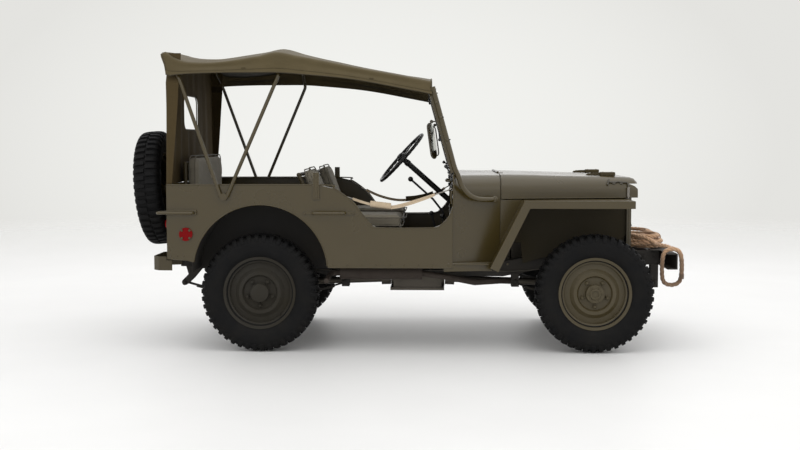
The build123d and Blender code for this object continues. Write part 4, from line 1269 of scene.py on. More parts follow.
def curtain_point(down, across):
    """A point of the rear curtain: down 0..1 from the bow, across -1..1 with its side flaps."""
    side, sign = abs(across), (1 if across > 0 else -1)
    top = 1822 - 16 * min(1.0, side / 0.86)
    z = top + (1022 - top) * down
    if side <= 0.86:
        y = 728 * side / 0.86
        x = CURTAIN_X
    else:
        t = (side - 0.86) / 0.14
        flap = 92 - 58 * down
        y = 728 + 8 * math.sin(min(1.0, t * 4) * math.pi / 2) - 7 * t
        x = CURTAIN_X + flap * t
    fold = 6.0 * math.sin(y * sign / 31 + 1.6 * soft(y / 170, z / 900, 2.0)) + \
        7.0 * soft(y * sign / 75, z / 700, 5.0)
    window = bell(y, 0, 280) * bell(z, 1467, 190)
    x += fold * (0.35 + 0.65 * min(1.0, down * 2.4)) * (1 - 0.85 * window) * 0.9
    y *= 1 - 0.04 * min(1.0, max(0.0, (z - 1630) / 50))
    return x, sign * y, z


def rounded_window():
    """Outline of the curtain's window, with round corners."""
    half, low, high = CURTAIN_WINDOW
    radius = 62
    right, below, above = half - radius, low + radius, high - radius
    made = []
    for start, corner in enumerate(((right, above), (-right, above), (-right, below), (right, below))):
        made += arc(*corner, radius, [90 * start + 11.25 * step for step in range(9)])
    return made


def cut_window(piece):
    """Cuts the window's outline through the curtain."""
    shape = Shape()
    shape.plate(rounded_window(), "X", CURTAIN_X - 60, CURTAIN_X + 60)
    cutter = linked(object_from("window_cutter", shape.mesh))
    modifier = piece.modifiers.new("window", "BOOLEAN")
    modifier.object = cutter
    modifier.solver = "EXACT"
    settle_modifiers(piece)
    bpy.data.objects.remove(cutter)
    if len(piece.data.polygons) < 1000:
        raise RuntimeError("the curtain's window was not cut")


class FIELDCAR_OT_canvas(bpy.types.Operator):
    """Sews the canvas roof and the rear curtain"""
    bl_idname = "field_car.canvas"
    bl_label = "Canvas top"

    def execute(self, context):
        roof = cloth_grid("canvas_roof", roof_point, (190, 130), 2.4, "canvas")
        area = sheet_area(roof_point, (80, 60))
        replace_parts(roof, "roof_canvas_front", "roof_canvas_rear")
        # the curtain's finish carries painted shade
        curtain = cloth_grid("canvas_curtain", curtain_point, (110, 190), 2.2, "curtain")
        cut_window(curtain)
        half, low, high = CURTAIN_WINDOW
        area = sheet_area(curtain_point, (60, 80)) - 2 * half * (high - low) * 1e-6
        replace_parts(curtain, "rear_curtain")
        trim = Shape()
        outline = [(CURTAIN_X - 5, y, z) for y, z in rounded_window()]
        trim.strap(outline, 16, 4, (1, 0, 0), closed=True)
        trim.piece("curtain_window_binding", "canvas_dark")
        hems = Shape()
        for sign in (1, -1):
            for share, out, drop, radius, sides in ((0.993, 1.2, 1, 3.4, 8), (0.955, 0.6, 0, 1.1, 6)):
                route = [roof_point(step / 60, sign * share) for step in range(61)]
                hems.tube([(x, y + sign * out, z - drop) for x, y, z in route], radius, sides)
            for x in (-1090, -330):
                share = (x - ROOF_FRONT_X) / (ROOF_REAR_X - ROOF_FRONT_X)
                y, z = roof_point(share, sign * 0.93)[1:]
                hems.strap([(x, y + sign * 3, z), (x, y + sign * 4, z - 24)], 26, 3, (0, sign, 0))
        front = [roof_point(0.004, step / 40 * 1.9 - 0.95) for step in range(41)]
        hems.tube([(x + 2, y, z + 1) for x, y, z in front], 4.2, 8)
        rear = [roof_point(0.996, step / 60 * 1.9 - 0.95) for step in range(61)]
        hems.tube(rear, 4.2, 8)
        hems.piece("canvas_hems", "canvas_dark")
        return {"FINISHED"}


# ---- body details ----------------------------------------------------------------------
ARCH_PLACE = (-1000, 495)
# the tub's upper edge, rear to front, with the doorway's dip
TUB_EDGE = [(-1560, 1020), (-637, 1020), (-560, 1002), (-484, 953), (-431, 907), (-386, 846),
            (-332, 785), (-294, 764), (33, 764), (84, 782), (132, 831), (156, 890), (159, 1000),
            (160, 1084)]


class FIELDCAR_OT_body(bpy.types.Operator):
    """Adds sills, seams, rivets, sockets, lamps and steps to the tub and wings"""
    bl_idname = "field_car.body"
    bl_label = "Body details"

    def execute(self, context):
        steps = Shape()
        rim = Shape()
        marks = Shape()
        for side in (1, -1):
            steps.strap([(108, side * 716, 526), (128, side * 724, 528), (330, side * 690, 528),
                         (386, side * 672, 526)], 52, 40, (0, side, 0))
            steps.tube([(108, side * 722, 545), (128, side * 738, 546), (330, side * 701, 546),
                        (386, side * 682, 544)], 10, 12)
            rim.tube([(x, side * 744, z) for x, z in smooth_path(TUB_EDGE, 6)], 4.2, 8)
            rim.tube([(x, side * 745.5, z) for x, z in arc(*ARCH_PLACE, 406, range(6, 176, 5))], 3.6, 8)
            rim.tube([(-1560, side * 744.5, 575), (-1446, side * 744.5, 566)], 3.4, 8)
            rim.tube([(-590, side * 744.5, 524), (150, side * 744.5, 524)], 3.4, 8)
            for end, x in ((-738, -676), (-430, -490)):
                rim.strap([(end, side * 746, 851), (x, side * 750, 853)], 20, 5, (0, side, 0))
            rim.block((-1562, side * 745, 838), (-1380, side * 752, 870), 2)
            for z in range(950, 1085, 30):
                marks.tube([(-660, side * 754, z), (-660, side * 757.5, z)], 6.5, 12)
            rim.block((-668, side * 754, 940), (-652, side * 757, 1090), 2)
        steps.piece("cowl_steps", "olive")
        rim.piece("tub_rim", "olive")
        marks.piece("socket_buttons", "olive")
        self.rear_end()
        self.bolts()
        self.underseal()
        return {"FINISHED"}

    def rear_end(self):
        """Tail lamps and the rear panel's ribs."""
        lamps = Shape()
        lenses = Shape()
        for side in (1, -1):
            lamps.lathe([(30, 0), (34, 4), (36, 20), (34, 34), (30, 40)], (-1562, side * 560, 772),
                        (-1, 0, 0), 32)
            lamps.block((-1580, side * 480, 765), (-1562, side * 540, 779), 3)
            lenses.lathe([(29, 0), (29, 4), (24, 9), (12, 12), (0, 13)], (-1601, side * 560, 772),
                         (-1, 0, 0), 28)
        lamps.block((-1566, -470, 640), (-1562, 470, 652), 1.5)
        lamps.block((-1568, -700, 1004), (-1562, 700, 1020), 2)
        for y in (-470, 470):
            lamps.block((-1566, y - 6, 640), (-1562, y + 6, 980), 1.5)
        lamps.piece("tail_lamps", "olive")
        lenses.piece("tail_lenses", "red_lens")

    def underseal(self):
        """Dark sheets on the walls behind the wheels, painted shade: near black in the rear wells, darkened
        olive inside the front wings.
        """
        seal = Shape()
        apron = Shape()
        arch_x, arch_z = ARCH_PLACE
        inner_arc, outer_arc = (arc(arch_x, arch_z, radius, range(4, 181, 4)) for radius in (411, 413))
        wall = [(arch_x - 411, arch_z - 8), *inner_arc[::-1], (arch_x + 411, arch_z - 8)]
        front = [(460, 648.5), (586.5, 648.5), (598.5, 518.2), (749, 560.3), (1200.6, 658.4),
                 (1243, 699), (1243, 915), (588, 915)]
        for side in (1, -1):
            # rear wells: near-black sheets, painted shade
            seal.plate(inner_arc + outer_arc[::-1], "Y", side * 477, side * 742)
            seal.plate(wall, "Y", side * 476.5, side * 478)
            # front wings: darkened olive sheets, painted shade
            apron.plate(front, "Y", side * 408.5, side * 410)
            apron.plate([(600, 916), (600, 917.5), (1232, 917.5), (1232, 916)], "Y",
                        side * 411, side * 748)
            apron.plate([(394, 511), (599, 914), (602, 912), (397, 508)], "Y", side * 411, side * 748)
        seal.piece("underseal", "underseal")
        apron.piece("wing_lining", "lining")

    def bolts(self):
        """Bolt heads and rivets along the seams."""
        heads = []
        rivets = []
        for side in (1, -1):
            out = (0, side, 0)
            wall = [(-730, 848), (-440, 848), (-1385, 860), (-1385, 848), (-660, 1075), (-660, 958)]
            heads += [((x, side * 751.5, z), out) for x, z in wall]
            rivets += [((x, side * 745.4, 590), out) for x in range(-1540, -1450, 40)]
            rivets += [((x, side * 745.4, 540), out) for x in range(-560, 120, 85)]
            rivets += [((x, side * 420, 925.4), (0, 0, 1)) for x in range(620, 1230, 100)]
            heads.append(((505, side * 409, 512), out))
            heads += [((x, side * 757.2, z), out) for x, z in arc(-1446, 723, 33, (45, 135, 225, 315))]
            heads += [((1268.4, side * 412, z), (1, 0, 0)) for z in (620, 760, 900)]
            heads += [((1515.4, side * y, 554), (1, 0, 0)) for y in (300, 380)]
        width = sizes_of().bolt_head
        repeated("body_bolts", hexagon_bolt(), heads, "olive", width=width)
        repeated("body_rivets", round_rivet(), rivets, "olive", width=width * 0.8)


def hood_half(x):
    """Half width of the hood at a place along the car."""
    return 597 - (x - 445) * 0.18


# place along the car, height of the top and radius of the shoulder
HOOD_TOPS = ((449, 1080, 108), (1200, 1062, 96), (1262, 1057, 92), (1288, 1049, 86), (1305, 1030, 74))


def hood_side(x, z):
    """Half width of the hood's surface at a height, round shoulder included."""
    top, radius = HOOD_TOPS[0][1:]
    for (x0, top0, radius0), (x1, top1, radius1) in zip(HOOD_TOPS, HOOD_TOPS[1:]):
        if x0 <= x <= x1:
            share = (x - x0) / (x1 - x0)
            top = top0 + (top1 - top0) * share
            radius = radius0 + (radius1 - radius0) * share
    rise = min(max(z - (top - radius), 0.0), radius)
    return hood_half(x) - radius + math.sqrt(radius * radius - rise * rise)


class FIELDCAR_OT_hood(bpy.types.Operator):
    """Adds the hood's catches, hinge strip, edge bead and block pads"""
    bl_idname = "field_car.hood"
    bl_label = "Hood details"

    def execute(self, context):
        catch = Shape()
        spring = Shape()
        for side in (1, -1):
            line = hood_half(1240)

            def on_hood(x, z, out=7.0):
                return x, side * (hood_side(x, z) + out), z

            handle = [on_hood(1112, 1012, 8), on_hood(1118, 1030, 9), on_hood(1124, 1044, 8)]
            catch.tube(smooth_path(handle, 4), 5.5, 10)
            bar = [on_hood(1119, 1030, 9), on_hood(1150, 1026, 6), on_hood(1180, 1031, 8),
                   on_hood(1212, 1027, 8), on_hood(1236, 1026, 9), on_hood(1243, 1012, 10),
                   (1242, side * (line + 8), 992)]
            catch.tube(smooth_path(bar, 5), 5.0, 10)
            for x in (1152, 1200):
                catch.lathe([(0, 0), (13, 0), (13, 5), (7, 8), (0, 8)],
                            on_hood(x, 1024, -1), (0, side, 0.75), 16)
            steps = range(11 * 14 + 1)
            coil = arc(1242, side * (line + 8), 7.5, [360 * step / 14 for step in steps])
            spring.tube([(x, y, 996 - 56 * step / 154) for step, (x, y) in zip(steps, coil)], 2.4, 6)
            spring.tube([(1242, side * (line + 8), 942), (1242, side * (line + 8), 926)], 4, 10)
            catch.block((1226, side * (line - 6), 925), (1258, side * (line + 18), 929), 1)
        catch.piece("hood_catches", "grimy_steel", "hood")
        spring.piece("hood_catch_springs", "steel")
        backing = Shape()
        for side in (1, -1):
            edge = [(hood_half(449) - 6, z) for z in (640, 930)]
            edge += [(hood_side(449, z) - 6, z) for z in range(960, 1070, 10)]
            inner = [(y - 4, z - 1) for y, z in edge]
            backing.plate([(side * y, z) for y, z in edge + inner[::-1]], "X", 436, 462)
        # the backing takes the olive with painted shade
        backing.piece("seam_backing", "olive_inside")
        strip = Shape()
        for index in range(9):
            y0 = -297 + index * 66
            strip.tube([(446, y0, 1085), (446, y0 + 62, 1085)], 6.4, 14)
        strip.block((452, -297, 1080.5), (478, 297, 1083.5), 1)
        strip.piece("hood_hinge", "olive", "hood")
        flange = Shape()
        for side in (1, -1):
            flange.tube([(x, side * (hood_half(x) + 1.0), 933) for x in range(452, 1262, 45)], 3.4, 8)
            edge = [(452, side * (hood_side(452, z) + 0.4), z) for z in range(936, 1080, 8)]
            edge.append((452, side * 470, 1080))
            flange.tube(edge, 2.8, 8)
        flange.piece("hood_beads", "olive", "hood")
        blocks = Shape()
        screws = []
        for side in (1, -1):
            y = side * 350
            blocks.block((1082, y - 31, 1064), (1174, y + 31, 1088), 4)
            blocks.plate([(995, 1068), (1084, 1066), (1084, 1084), (1040, 1083), (1003, 1078)], "Y",
                         y - 9, y + 9)
            screws += [((x, y, z), (0, 0, 1)) for x, z in ((1100, 1088), (1156, 1088), (1020, 1081))]
        made = blocks.piece("windscreen_rests", "wood", "hood")
        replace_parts(made, "hood_blocks")
        repeated("rest_screws", round_rivet(), screws, "steel", "hood", 0.011)
        return {"FINISHED"}


def slot_outline(half, straight):
    """Outline of an upright slot with round ends."""
    upper, lower = ([start + 22.5 * step for step in range(9)] for start in (0, 180))
    return arc(0, straight, half, upper) + arc(0, -straight, half, lower)


class FIELDCAR_OT_grille(bpy.types.Operator):
    """Fits lamp rims, lenses, marker lamps and the radiator's core behind the grille"""
    bl_idname = "field_car.grille"
    bl_label = "Grille and lamps"

    def execute(self, context):
        bowls = Shape()
        lenses = Shape()
        marker_lenses = Shape()
        for side in (1, -1):
            y = side * 310
            bowls.lathe([(30, -84), (58, -72), (76, -38), (80, -14), (82, -6), (82, 0), (78, 3),
                         (74, 1), (73, -4)], (1258, y, 860), (1, 0, 0), 56)
            lenses.lathe([(73, -5), (73, -2), (60, 4), (40, 8), (20, 10), (0, 10.5)],
                         (1258, y, 860), (1, 0, 0), 48)
            bowls.lathe([(26, -30), (31, -12), (32, 0), (28, 3), (27, 0)], (1266, side * 330, 718),
                        (1, 0, 0), 32)
            marker_lenses.lathe([(27, 0), (24, 5), (12, 8), (0, 9)], (1266, side * 330, 718),
                                (1, 0, 0), 28)
        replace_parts(bowls.piece("lamp_bowls", "olive"), "headlamps")
        lenses.piece("lamp_lenses", "clear_lens", slot="lamp")
        marker_lenses.piece("marker_lenses", "clear_lens")
        core = Shape()
        for index in range(33):
            y = -264 + index * 16.5
            core.block((1196, y - 1.2, 640), (1200, y + 1.2, 968))
        for index in range(42):
            z = 642 + index * 7.8
            core.block((1197, -268, z - 0.7), (1202, 268, z + 0.7))
        core.piece("radiator_core", "black")
        beads = Shape()
        for side in (1, -1):
            route = [(1252, side * 431, 604), (1252, side * 431, 985), (1252, side * 402, 1010)]
            beads.tube(route, 3.2, 8)
        for number in range(-4, 5):
            y = number * 45
            beads.tube([(1269, y + dy, 800 + dz) for dy, dz in slot_outline(13.5, 151.5)], 2.2, 6,
                       closed=True)
        for side in (1, -1):
            beads.tube([(1269, y, z) for y, z in arc(side * 310, 860, 86, turns(40))], 2.4, 6,
                       closed=True)
        beads.piece("grille_beads", "olive")
        return {"FINISHED"}


# ---- windscreen ------------------------------------------------------------------------
SCREEN_FOOT, SCREEN_RAKE = (184, 1100), math.radians(15.4)


def on_screen(across, up, ahead=0.0):
    """A place on the windscreen: across the car, up its slope, and ahead of its front face."""
    x = SCREEN_FOOT[0] - up * math.sin(SCREEN_RAKE) + ahead * math.cos(SCREEN_RAKE)
    z = SCREEN_FOOT[1] + up * math.cos(SCREEN_RAKE) + ahead * math.sin(SCREEN_RAKE)
    return x, across, z


class FIELDCAR_OT_windscreen(bpy.types.Operator):
    """Adds side tubes, clamps, pane frames, wipers, mirrors and their arms"""
    bl_idname = "field_car.windscreen"
    bl_label = "Windscreen details"

    def execute(self, context):
        tubes = Shape()
        dark = Shape()
        bright = Shape()
        for side in (1, -1):
            y = side * 727
            route = [on_screen(y, 524, -12), on_screen(y, 330, -12), on_screen(y, 120, -12),
                     on_screen(y, 30, -12), (192, side * 731, 1062), (214, side * 731, 1006),
                     (252, side * 727, 962), (300, side * 713, 938), (352, side * 693, 932),
                     (396, side * 668, 931)]
            tubes.tube(smooth_path(route, 6), 15.5, 16)
            tubes.lathe([(0, -9), (19, -9), (20, -4), (20, 4), (14, 9), (0, 9)],
                        (409, side * 664, 931), (0.2, side, 0), 24)
            tubes.lathe([(0, 0), (9, 0), (9, 5), (6, 7), (0, 7)], (411, side * 673, 931),
                        (0.2, side, 0), 6)
            for up, ahead in ((428, -2), (335, 2), (196, 6)):
                tubes.lathe([(0, 0), (8, 0), (8, 5), (4, 8), (0, 8)],
                            on_screen(side * 741, up, ahead - 14), (0, side, 0), 12)
                tip = on_screen(side * 736, up, ahead + 3)
                dark.tube([on_screen(side * 736, up, -8), tip], 4, 8)
            clamp = on_screen(side * 700, 12, -34)
            dark.tube([clamp, (146, side * 700, 1066)], 6, 10)
            dark.lathe([(0, -6), (12, -6), (14, 0), (12, 6), (0, 6)], clamp, (0, 1, 0), 18)
            dark.tube([(152, side * 700, 1108), (120, side * 700, 1128)], 5, 8)
            dark.lathe([(0, -11), (9, -8), (12, 0), (9, 8), (0, 11)], (114, side * 700, 1131),
                       (1, 0, -0.6), 14)
            self.pane_frame(dark, side)
            self.wiper(dark, bright, side)
        tubes.piece("windscreen_tubes", "olive", "windscreen")
        dark.piece("windscreen_fittings", "black", "windscreen")
        bright.piece("windscreen_bright_parts", "bright", "windscreen")
        self.mirrors()
        seal = Shape()
        seal.plate([(152, 1081), (180, 1079), (184, 1101), (150, 1108)], "Y", -640, 640)
        seal.piece("windscreen_seal", "rubber_trim", "windscreen")
        return {"FINISHED"}

    def pane_frame(self, shape, side):
        """Rubber channel round one pane, its hinge, and the opening stay."""
        low, high, inner, outer = 142, 510, 20, 680
        corners = [(inner, low), (outer, low), (outer, high), (inner, high)]
        for ahead in (-8, -30):
            ring = [on_screen(side * y, up, ahead) for y, up in corners]
            shape.tube(ring, 5.5, 8, closed=True)
        for y in (150, 350, 550):
            place = on_screen(side * y, 514, 2)
            shape.tube([on_screen(side * (y - 24), 514, 2), on_screen(side * (y + 24), 514, 2)], 6, 10)
            shape.tube([place, on_screen(side * y, 500, -2)], 4, 6)
        shape.tube([on_screen(side * 660, 300, -32), on_screen(side * 690, 215, -46)], 4, 8)
        shape.lathe([(0, -5), (11, -5), (12, 0), (11, 5), (0, 5)], on_screen(side * 690, 212, -46),
                    (0, 1, 0), 16)

    def wiper(self, dark, bright, side):
        """Hand wiper at the top of a pane."""
        y = side * 250
        pivot = on_screen(y, 505, 8)
        bright.lathe([(0, -40), (4, -40), (4, 0), (9, 0), (9, 7), (0, 8)], pivot, (1, 0, 0.27), 16)
        bright.tube([pivot, on_screen(y + side * 90, 380, 7)], 2.6, 6)
        dark.strap([on_screen(y + side * 30, 440, 3), on_screen(y + side * 150, 330, 3)], 9, 4,
                   (1, 0, 0.27))
        dark.tube([on_screen(y, 505, -42), on_screen(y + side * 40, 470, -46)], 4, 8)
        dark.lathe([(0, -10), (8, -8), (9, 4), (0, 7)], on_screen(y + side * 40, 468, -46),
                   (1, 0, 0.27), 14)

    def mirrors(self):
        """Round-ended mirrors hung inside the windscreen posts."""
        backs = Shape()
        glass = Shape()
        rims = Shape()
        for side in (1, -1):
            turn = math.radians(35 * side)
            across = Vector((-math.sin(turn), math.cos(turn), 0))
            up = Vector((-0.14, 0, 1)).normalized()
            ahead = across.cross(up).normalized()
            centre = Vector((50 if side > 0 else 30, side * 700, 1282))
            rims.tube([centre + across * u + up * v for u, v in slot_outline(28, 77)], 4.2, 10,
                      closed=True)
            for shape, depths in ((backs, (5.0, 1.0)), (glass, (-3.5, -1.5))):
                bridge(shape.mesh, [shape.ring(at(*(centre + across * u + up * v + ahead * depth))
                                               for u, v in slot_outline(27, 77)) for depth in depths])
            arm = [centre + up * 95 + ahead * 4, centre + up * 116 + Vector((14, 0, 0)),
                   Vector(on_screen(side * 712, 318, -30))]
            rims.tube(arm, 4.5, 10)
            rims.lathe([(0, -9), (10, -9), (11, 0), (10, 9), (0, 9)], arm[1], (0, 1, 0), 16)
            rims.lathe([(0, -7), (9, -7), (9, 7), (0, 7)], centre + up * 100, (0, 1, 0), 16)
        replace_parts(backs.piece("mirror_backs", "bright", "windscreen"), "mirrors")
        glass.piece("mirror_glass", "bright", "windscreen", slot="mirror")
        rims.piece("mirror_rims_and_arms", "grimy_steel", "windscreen")


# ---- seats -----------------------------------------------------------------------------
# name, corner place, lean in degrees, half width, length up the pad, thickness, body
PADS = [
    ("driver_seat_pad", (-347, 370, 787), -90, 209, 398, 65, "body"),
    ("driver_back_pad", (-620, 370, 738), 20.7, 209, 280, 46, "body"),
    ("passenger_seat_pad", (-354, -355, 787), -90, 199, 412, 65, "passenger_seat"),
    ("passenger_back_pad", (-634, -355, 738), 21.75, 199, 280, 46, "passenger_seat"),
    ("rear_seat_pad", (-1246, 0, 831), -90, 434, 362, 66, "body"),
    ("rear_back_pad", (-1470, 0, 820), 0, 434, 370, 50, "body"),
]


BACK_PAD_UP, BACK_PAD_OUT = 108, 38.0       # from the back frame's corner to its pad


def pad_frame(lean):
    """Directions of a pad: out of its face, across, and up its length."""
    angle = math.radians(lean)
    if lean == -90:
        return Vector((0, 0, 1)), Vector((0, 1, 0)), Vector((-1, 0, 0))
    return (Vector((math.cos(angle), 0, math.sin(angle))), Vector((0, 1, 0)),
            Vector((-math.sin(angle), 0, math.cos(angle))))


def pad_outline(name, half, length):
    """Outline of a pad seen on its face: back pads have round upper corners."""
    top, low = (62, 12) if "back" in name else (26, 26)
    corners = ((half - top, length - top, top), (top - half, length - top, top),
               (low - half, low, low), (half - low, low, low))
    made = []
    for start, corner in enumerate(corners):
        made += arc(*corner, [90 * start + 15 * step for step in range(7)])
    return made


def pad_places(place, lean, length):
    """Function from pad measures (out, across, up) to places in millimetres."""
    out, across, up = pad_frame(lean)
    base, shift = Vector(place), 0.0
    if lean == -90:
        base -= up * length / 2
    elif lean:
        base += up * BACK_PAD_UP
        shift = BACK_PAD_OUT
    return lambda u, v, w: base + out * (u + shift) + across * v + up * w


def pad_start(name, place, lean, half, length, thick):
    """Closed mesh of a pad, slightly smaller than its finished size."""
    where = pad_places(place, lean, length)
    made = bmesh.new()
    rings = []
    for u, inset in ((-thick / 2 + 5, 9), (-thick / 2 + 12, 3), (thick / 2 - 12, 3),
                     (thick / 2 - 5, 9)):
        rings.append([made.verts.new(at(*where(u, v, w + inset)))
                      for v, w in pad_outline(name, half - inset, length - 2 * inset)])
    bridge(made, rings)
    return linked(object_from(name, made))


CUSHION_FRAMES = 20
CUSHION_CELL = 0.006
CUSHION_CAP = 0.013


def puff(piece):
    """Fills a pad: cloth under a little pressure, its movement capped."""
    remesh = piece.modifiers.new("cells", "REMESH")
    remesh.mode = "VOXEL"
    remesh.voxel_size = CUSHION_CELL
    settle_modifiers(piece)
    start = [vert.co.copy() for vert in piece.data.vertices]
    cloth = piece.modifiers.new("cloth", "CLOTH")
    settings = cloth.settings
    settings.quality = 4
    settings.mass = 0.25
    settings.tension_stiffness = 12
    settings.compression_stiffness = 12
    settings.shear_stiffness = 4
    settings.bending_stiffness = 0.3
    settings.use_pressure = True
    settings.uniform_pressure_force = 4.0
    settings.effector_weights.gravity = 0.0
    cloth.collision_settings.use_collision = False
    cloth.point_cache.frame_start = 1
    cloth.point_cache.frame_end = CUSHION_FRAMES
    scene = bpy.context.scene
    for frame in range(1, CUSHION_FRAMES + 1):
        scene.frame_set(frame)
    settle_modifiers(piece)
    if len(piece.data.vertices) != len(start):
        raise RuntimeError(piece.name + " changed its cells during the simulation")
    farthest = 0.0
    for vert, origin in zip(piece.data.vertices, start):
        move = vert.co - origin
        farthest = max(farthest, move.length)
        if move.length > CUSHION_CAP:
            vert.co = origin + move.normalized() * CUSHION_CAP
    scene.frame_set(1)
    if farthest < 0.0005:
        raise RuntimeError(piece.name + " did not fill")


def crease(piece, name, place, lean, half, length):
    """Soft wear wrinkles over a filled pad, deepest towards its seams."""
    where = pad_places(place, lean, length)
    _, across, up = pad_frame(lean)
    centre = at(*where(0, 0, length / 2))
    normals = [vert.normal.copy() for vert in piece.data.vertices]
    for vert, normal in zip(piece.data.vertices, normals):
        local = vert.co - centre
        v, w = local.dot(across) / (half * MM), local.dot(up) / (length / 2 * MM)
        edge = max(abs(v), abs(w))
        wave = noise.noise(Vector((v * 3.1, w * 9.0, 3.3 + len(name)))) * 0.0022
        wave += noise.noise(Vector((v * 8.0, w * 3.0, 8.8 + len(name)))) * 0.0014
        vert.co += normal * wave * min(1.0, edge + 0.25)


class FIELDCAR_OT_seats(bpy.types.Operator):
    """Fills the seat cushions and sews their piping"""
    bl_idname = "field_car.seats"
    bl_label = "Seats"

    def execute(self, context):
        replaced = {"driver_seat_pad": "driver_seat_cushions",
                    "passenger_seat_pad": "passenger_seat_cushions",
                    "rear_seat_pad": "rear_seat_cushions"}
        for name, place, lean, half, length, thick, body in PADS:
            piece = pad_start(name, place, lean, half, length, thick)
            puff(piece)
            crease(piece, name, place, lean, half, length)
            piece.data.materials.append(material("seat"))
            piece.data.shade_smooth()
            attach(piece, body)
            if name in replaced:
                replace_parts(piece, replaced[name])
            where = pad_places(place, lean, length)
            piping = Shape()
            for u in (-thick / 2 + 8, thick / 2 - 8):
                ring = [where(u, v, w + 1) for v, w in pad_outline(name, half + 1, length - 2)]
                piping.tube(ring, 3.6, 8, closed=True)
            piping.piece(name + "_piping", "seat_piping", body, slot="seat_canvas")
        self.fittings()
        return {"FINISHED"}

    def fittings(self):
        """Straps that hold the pads, seat feet, and the locker lids and latches beside the rear seat."""
        for name, y, back, top, body in (("driver", 370, -620, -765, "body"),
                                         ("passenger", -355, -634, -788, "passenger_seat")):
            straps = Shape()
            for offset in (-120, 120):
                straps.strap([(back - 14, y + offset, 812), (back - 30, y + offset, 850),
                              (top - 4, y + offset, 1060)], 24, 3, (-1, 0, -0.35))
            straps.piece("seat_straps_" + name, "olive_webbing", body)
        feet = Shape()
        for side in (-1, 1):
            edge = 370 + side * 201
            feet.block((-195, edge - 22, 534), (-155, edge + 22, 538), 1)
            feet.block((-565, edge - 22, 534), (-525, edge + 22, 538), 1)
            feet.block((-1410, side * 500, 914), (-1040, side * 700, 917), 1)
            feet.tube([(-1180, side * 470, 880), (-1180, side * 464, 880)], 12, 16)
            feet.block((-1210, side * 462, 872), (-1150, side * 470, 888), 2)
        # the feet and lids take the olive with painted shade
        feet.piece("seat_feet_and_lids", "olive_inside", "body")


# ---- cockpit ---------------------------------------------------------------------------
WHEEL_HUB = (-180, 350, 1168)
COLUMN_END = (505, 430, 556)


def column_frame():
    """Hub place, axis towards the driver, and two directions square to it."""
    hub = Vector(WHEEL_HUB)
    axis = (hub - Vector(COLUMN_END)).normalized()
    across = Vector((0, 1, 0))
    across = (across - axis * across.dot(axis)).normalized()
    return hub, axis, across, axis.cross(across)


class FIELDCAR_OT_steering(bpy.types.Operator):
    """Builds the steering wheel, horn button, column collars and clamps"""
    bl_idname = "field_car.steering"
    bl_label = "Steering wheel"

    def execute(self, context):
        hub, axis, across, up = column_frame()

        def spot(radius, angle, out=0.0):
            (u, v), = arc(0, 0, radius, [angle])
            return hub + across * u + up * v + axis * out

        wheel = Shape()
        wheel.tube([spot(211, angle, 0) for angle in range(0, 360, 5)], 10.5, 16, closed=True)
        for angle in range(3, 360, 12):
            wheel.tube([spot(203, angle, -7), spot(203, angle + 7, -7)], 5.5, 8)
        for base in (90, 210, 330):
            for offset in (-4.0, 4.0):
                wheel.tube([spot(34, base + offset * 3.2, -4), spot(120, base + offset, -6),
                            spot(206, base + offset * 0.6, -1)], 4.2, 10)
            wheel.tube([spot(196, base - 4, -1), spot(205, base, 0), spot(196, base + 4, -1)], 6, 10)
        wheel.lathe([(20, -17), (31, -16), (33, -4), (36, 4), (34, 12), (27, 16), (26, 20), (24, 25),
                     (14, 29), (0, 30)], hub, axis, 40)
        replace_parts(wheel.piece("steering_wheel_rim", "black", "steering_wheel"), "steering_wheel")
        collars = Shape()
        for share, radius, width in ((0.06, 22.5, 26), (0.60, 23, 20), (0.64, 25, 8)):
            half = width / 2
            collars.lathe([(0, -half), (radius - 2, -half), (radius, -half + 3), (radius, half - 3),
                           (radius - 2, half), (0, half)], hub.lerp(COLUMN_END, share), axis, 28)
        for y in (300, 500):
            collars.tube([hub.lerp(COLUMN_END, 0.62), (190, y, 1010)], 8, 10)
        collars.piece("column_clamps", "black")
        return {"FINISHED"}


# section, place and slope of the knobs at the dash's outer end
DASH_KNOBS = [([(0, 0), (7, 0), (7, 8), (12, 12), (13, 22), (9, 27), (0, 28)], -690, 1052, 0.1),
              ([(0, 0), (6, 0), (6, 10), (11, 14), (11, 22), (0, 26)], -690, 1016, -0.3),
              ([(0, 0), (6, 0), (6, 16), (10, 20), (10, 26), (0, 29)], -676, 990, 0.3)]


